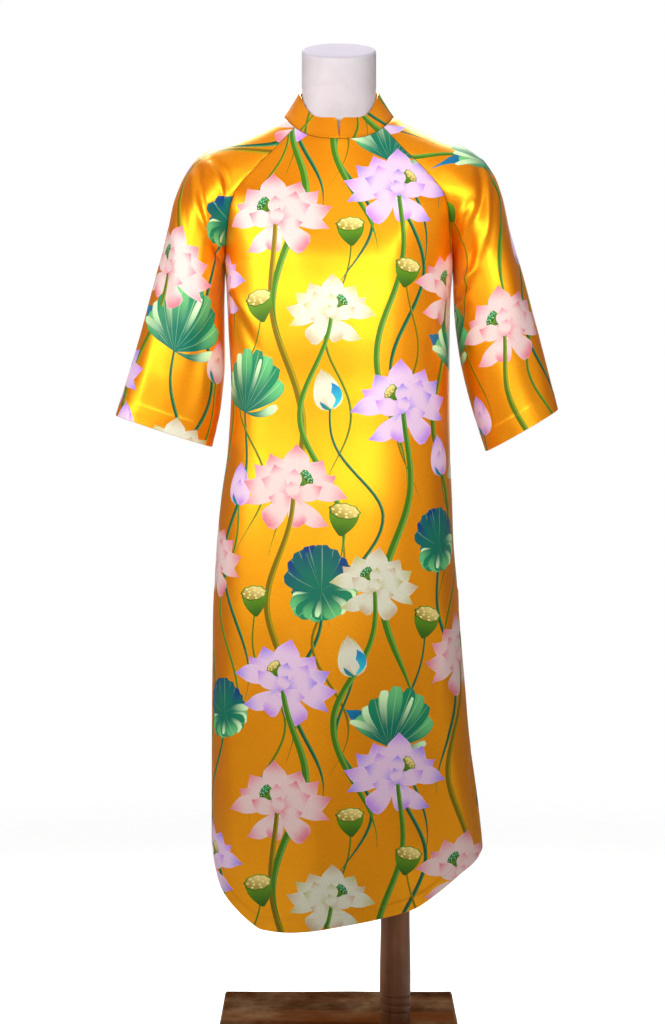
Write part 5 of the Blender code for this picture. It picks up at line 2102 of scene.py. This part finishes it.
LIGHTS = (
    SoftLight("band_far_left", (-2.70, -1.30, 1.32), (0.0, 0.0, 1.14), (1.5, 0.6), 2.8, 48.0),
    SoftLight("band_left", (-1.60, -2.54, 1.32), (0.0, 0.0, 1.14), (1.5, 0.6), 2.6, 48.0),
    SoftLight("band_front", (-0.10, -3.0, 1.32), (-0.10, 0.0, 1.14), (1.15, 0.7), 2.1, 44.0),
    SoftLight("band_right", (1.10, -2.78, 1.32), (-0.08, 0.0, 1.10), (1.0, 0.6), 1.1, 20.0),
    SoftLight("fill_right", (2.6, -1.2, 0.9), (0.1, 0.0, 0.85), (1.6, 1.8), 1.4, 100.0),
    SoftLight("collar_soft", (0.0, -2.6, 2.86), (0.0, 0.0, 1.36), (0.8, 0.25), 0.16, 10.0),
    SoftLight("shoulder_soft", (-0.2, 1.8, 2.7), (0.0, 0.0, 1.32), (2.6, 0.5), 9.0, 36.0),
    SoftLight("top_soft", (-0.1, -0.1, 3.0), (0.0, 0.0, 0.0), (3.0, 2.6), 12.0, 180.0, WHITE),
    SoftLight("floor_soft", (0.0, 1.7, 2.9), (0.0, -0.3, 0.0), (2.4, 0.6), 13.0, 50.0),
    SoftLight("back_soft", (0.3, 3.0, 1.2), (0.0, 0.0, 0.95), (2.0, 0.8), 2.2, 70.0),
)


@dataclass
class Studio:
    """Pale floor and backdrop, soft lights and the camera."""

    camera_at: Spot = (-0.009, -2.8, 0.911)
    pitch: float = 3.2
    focal: float = 2000.0 / 1024.0 * 36.0
    air: float = 0.19
    floor_sides: int = 96
    floor_radius: float = 2.0

    def build(self) -> None:
        """Make the floor, the backdrop, the lights and the camera."""
        scene = bpy.context.scene
        turns = [2 * math.pi * i / self.floor_sides for i in range(self.floor_sides)]
        points = [(self.floor_radius * math.sin(turn), self.floor_radius * math.cos(turn), 0.0)
                  for turn in turns]
        rim = tuple(range(self.floor_sides))[::-1]
        plain_mesh("studio_floor", points, [rim], Paper().material(), 30.0)
        for light in LIGHTS:
            light.place()
        scene.view_settings.view_transform = "Standard"
        scene.world = bpy.data.worlds.new("studio_air")
        scene.world.use_nodes = True
        air = Tree(scene.world.node_tree)
        dim = air.tree.nodes["Background"]
        air.feed(dim.inputs["Color"], WHITE)
        air.feed(dim.inputs["Strength"], self.air)
        seen = air.node("ShaderNodeLightPath").outputs["Is Camera Ray"]
        backdrop = air.made("ShaderNodeBackground", {"Color": WHITE})
        choice = air.made("ShaderNodeMixShader", {0: seen, 1: dim.outputs[0], 2: backdrop})
        air.feed(air.tree.nodes["World Output"].inputs["Surface"], choice)
        lens = bpy.data.cameras.new("camera")
        lens.lens, lens.sensor_width, lens.clip_start, lens.clip_end = self.focal, 36.0, 0.05, 60.0
        scene.camera = placed("camera", lens)
        scene.camera.location = self.camera_at
        scene.camera.rotation_euler = (math.radians(90.0 - self.pitch), 0.0, 0.0)


# ---- putting it together ----
POST_WOOD = Wood("post_wood", srgb(80, 40, 18), srgb(146, 90, 46), srgb(184, 132, 90), (1.0, 1.0, 0.06),
                 0.42, 0.25, (9.0, 9.0, 9.0))
BOARD_WOOD = Wood("board_wood", srgb(44, 20, 6), srgb(90, 50, 22), srgb(124, 96, 70), (0.06, 1.0, 1.0),
                  0.66, 0.85, (BASE_SIZE[0] / 2, BASE_SIZE[1] / 2, BASE_SIZE[2]), 0.0)
HEM_STITCH, CUFF_STITCH = 0.0165, 0.0245


def join_in(piece: Any, node: str | None) -> None:
    """Ride a piece on the body, hide the solid that it stands for, and log it.

    Args:
        piece: The object.
        node: The solid that it replaces, or None.
    """
    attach(piece, BODY)
    if node is not None:
        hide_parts(node)
    LOG.info("%s: %d faces", piece.name, len(piece.data.polygons))


def main() -> None:
    """Build the tunic, its stitches, the form, the post, the board and the studio."""
    looks = (Satin().material(), Satin("satin_inside", inside=True).material())
    thread, printed, tunic = Thread().material(), PrintedCloth(), Tunic()
    tunic.cut()
    for name, panel in tunic.panels.items():
        piece = panel.sew(printed, looks)
        join_in(piece, STANDS_FOR[name])
        width, length, area = panel.flat_size()
    for name, inset in (("tunic_front", HEM_STITCH), ("tunic_back", HEM_STITCH),
                        ("raglan_sleeve_left", CUFF_STITCH), ("raglan_sleeve_right", CUFF_STITCH)):
        join_in(StitchRow(tunic.panels[name], inset, inset == HEM_STITCH).sew(thread), None)
    join_in(BodyForm().build(tunic.panels.values(), FormCoat().material()), "dress_form")
    join_in(TurnedPost().build(POST_WOOD.material()), "post")
    join_in(BaseBoard().build(BOARD_WOOD.material()), "base")
    Studio().build()


if __name__ == "__main__":
    logging.basicConfig(level=logging.INFO, format="%(name)s %(message)s")
    main()
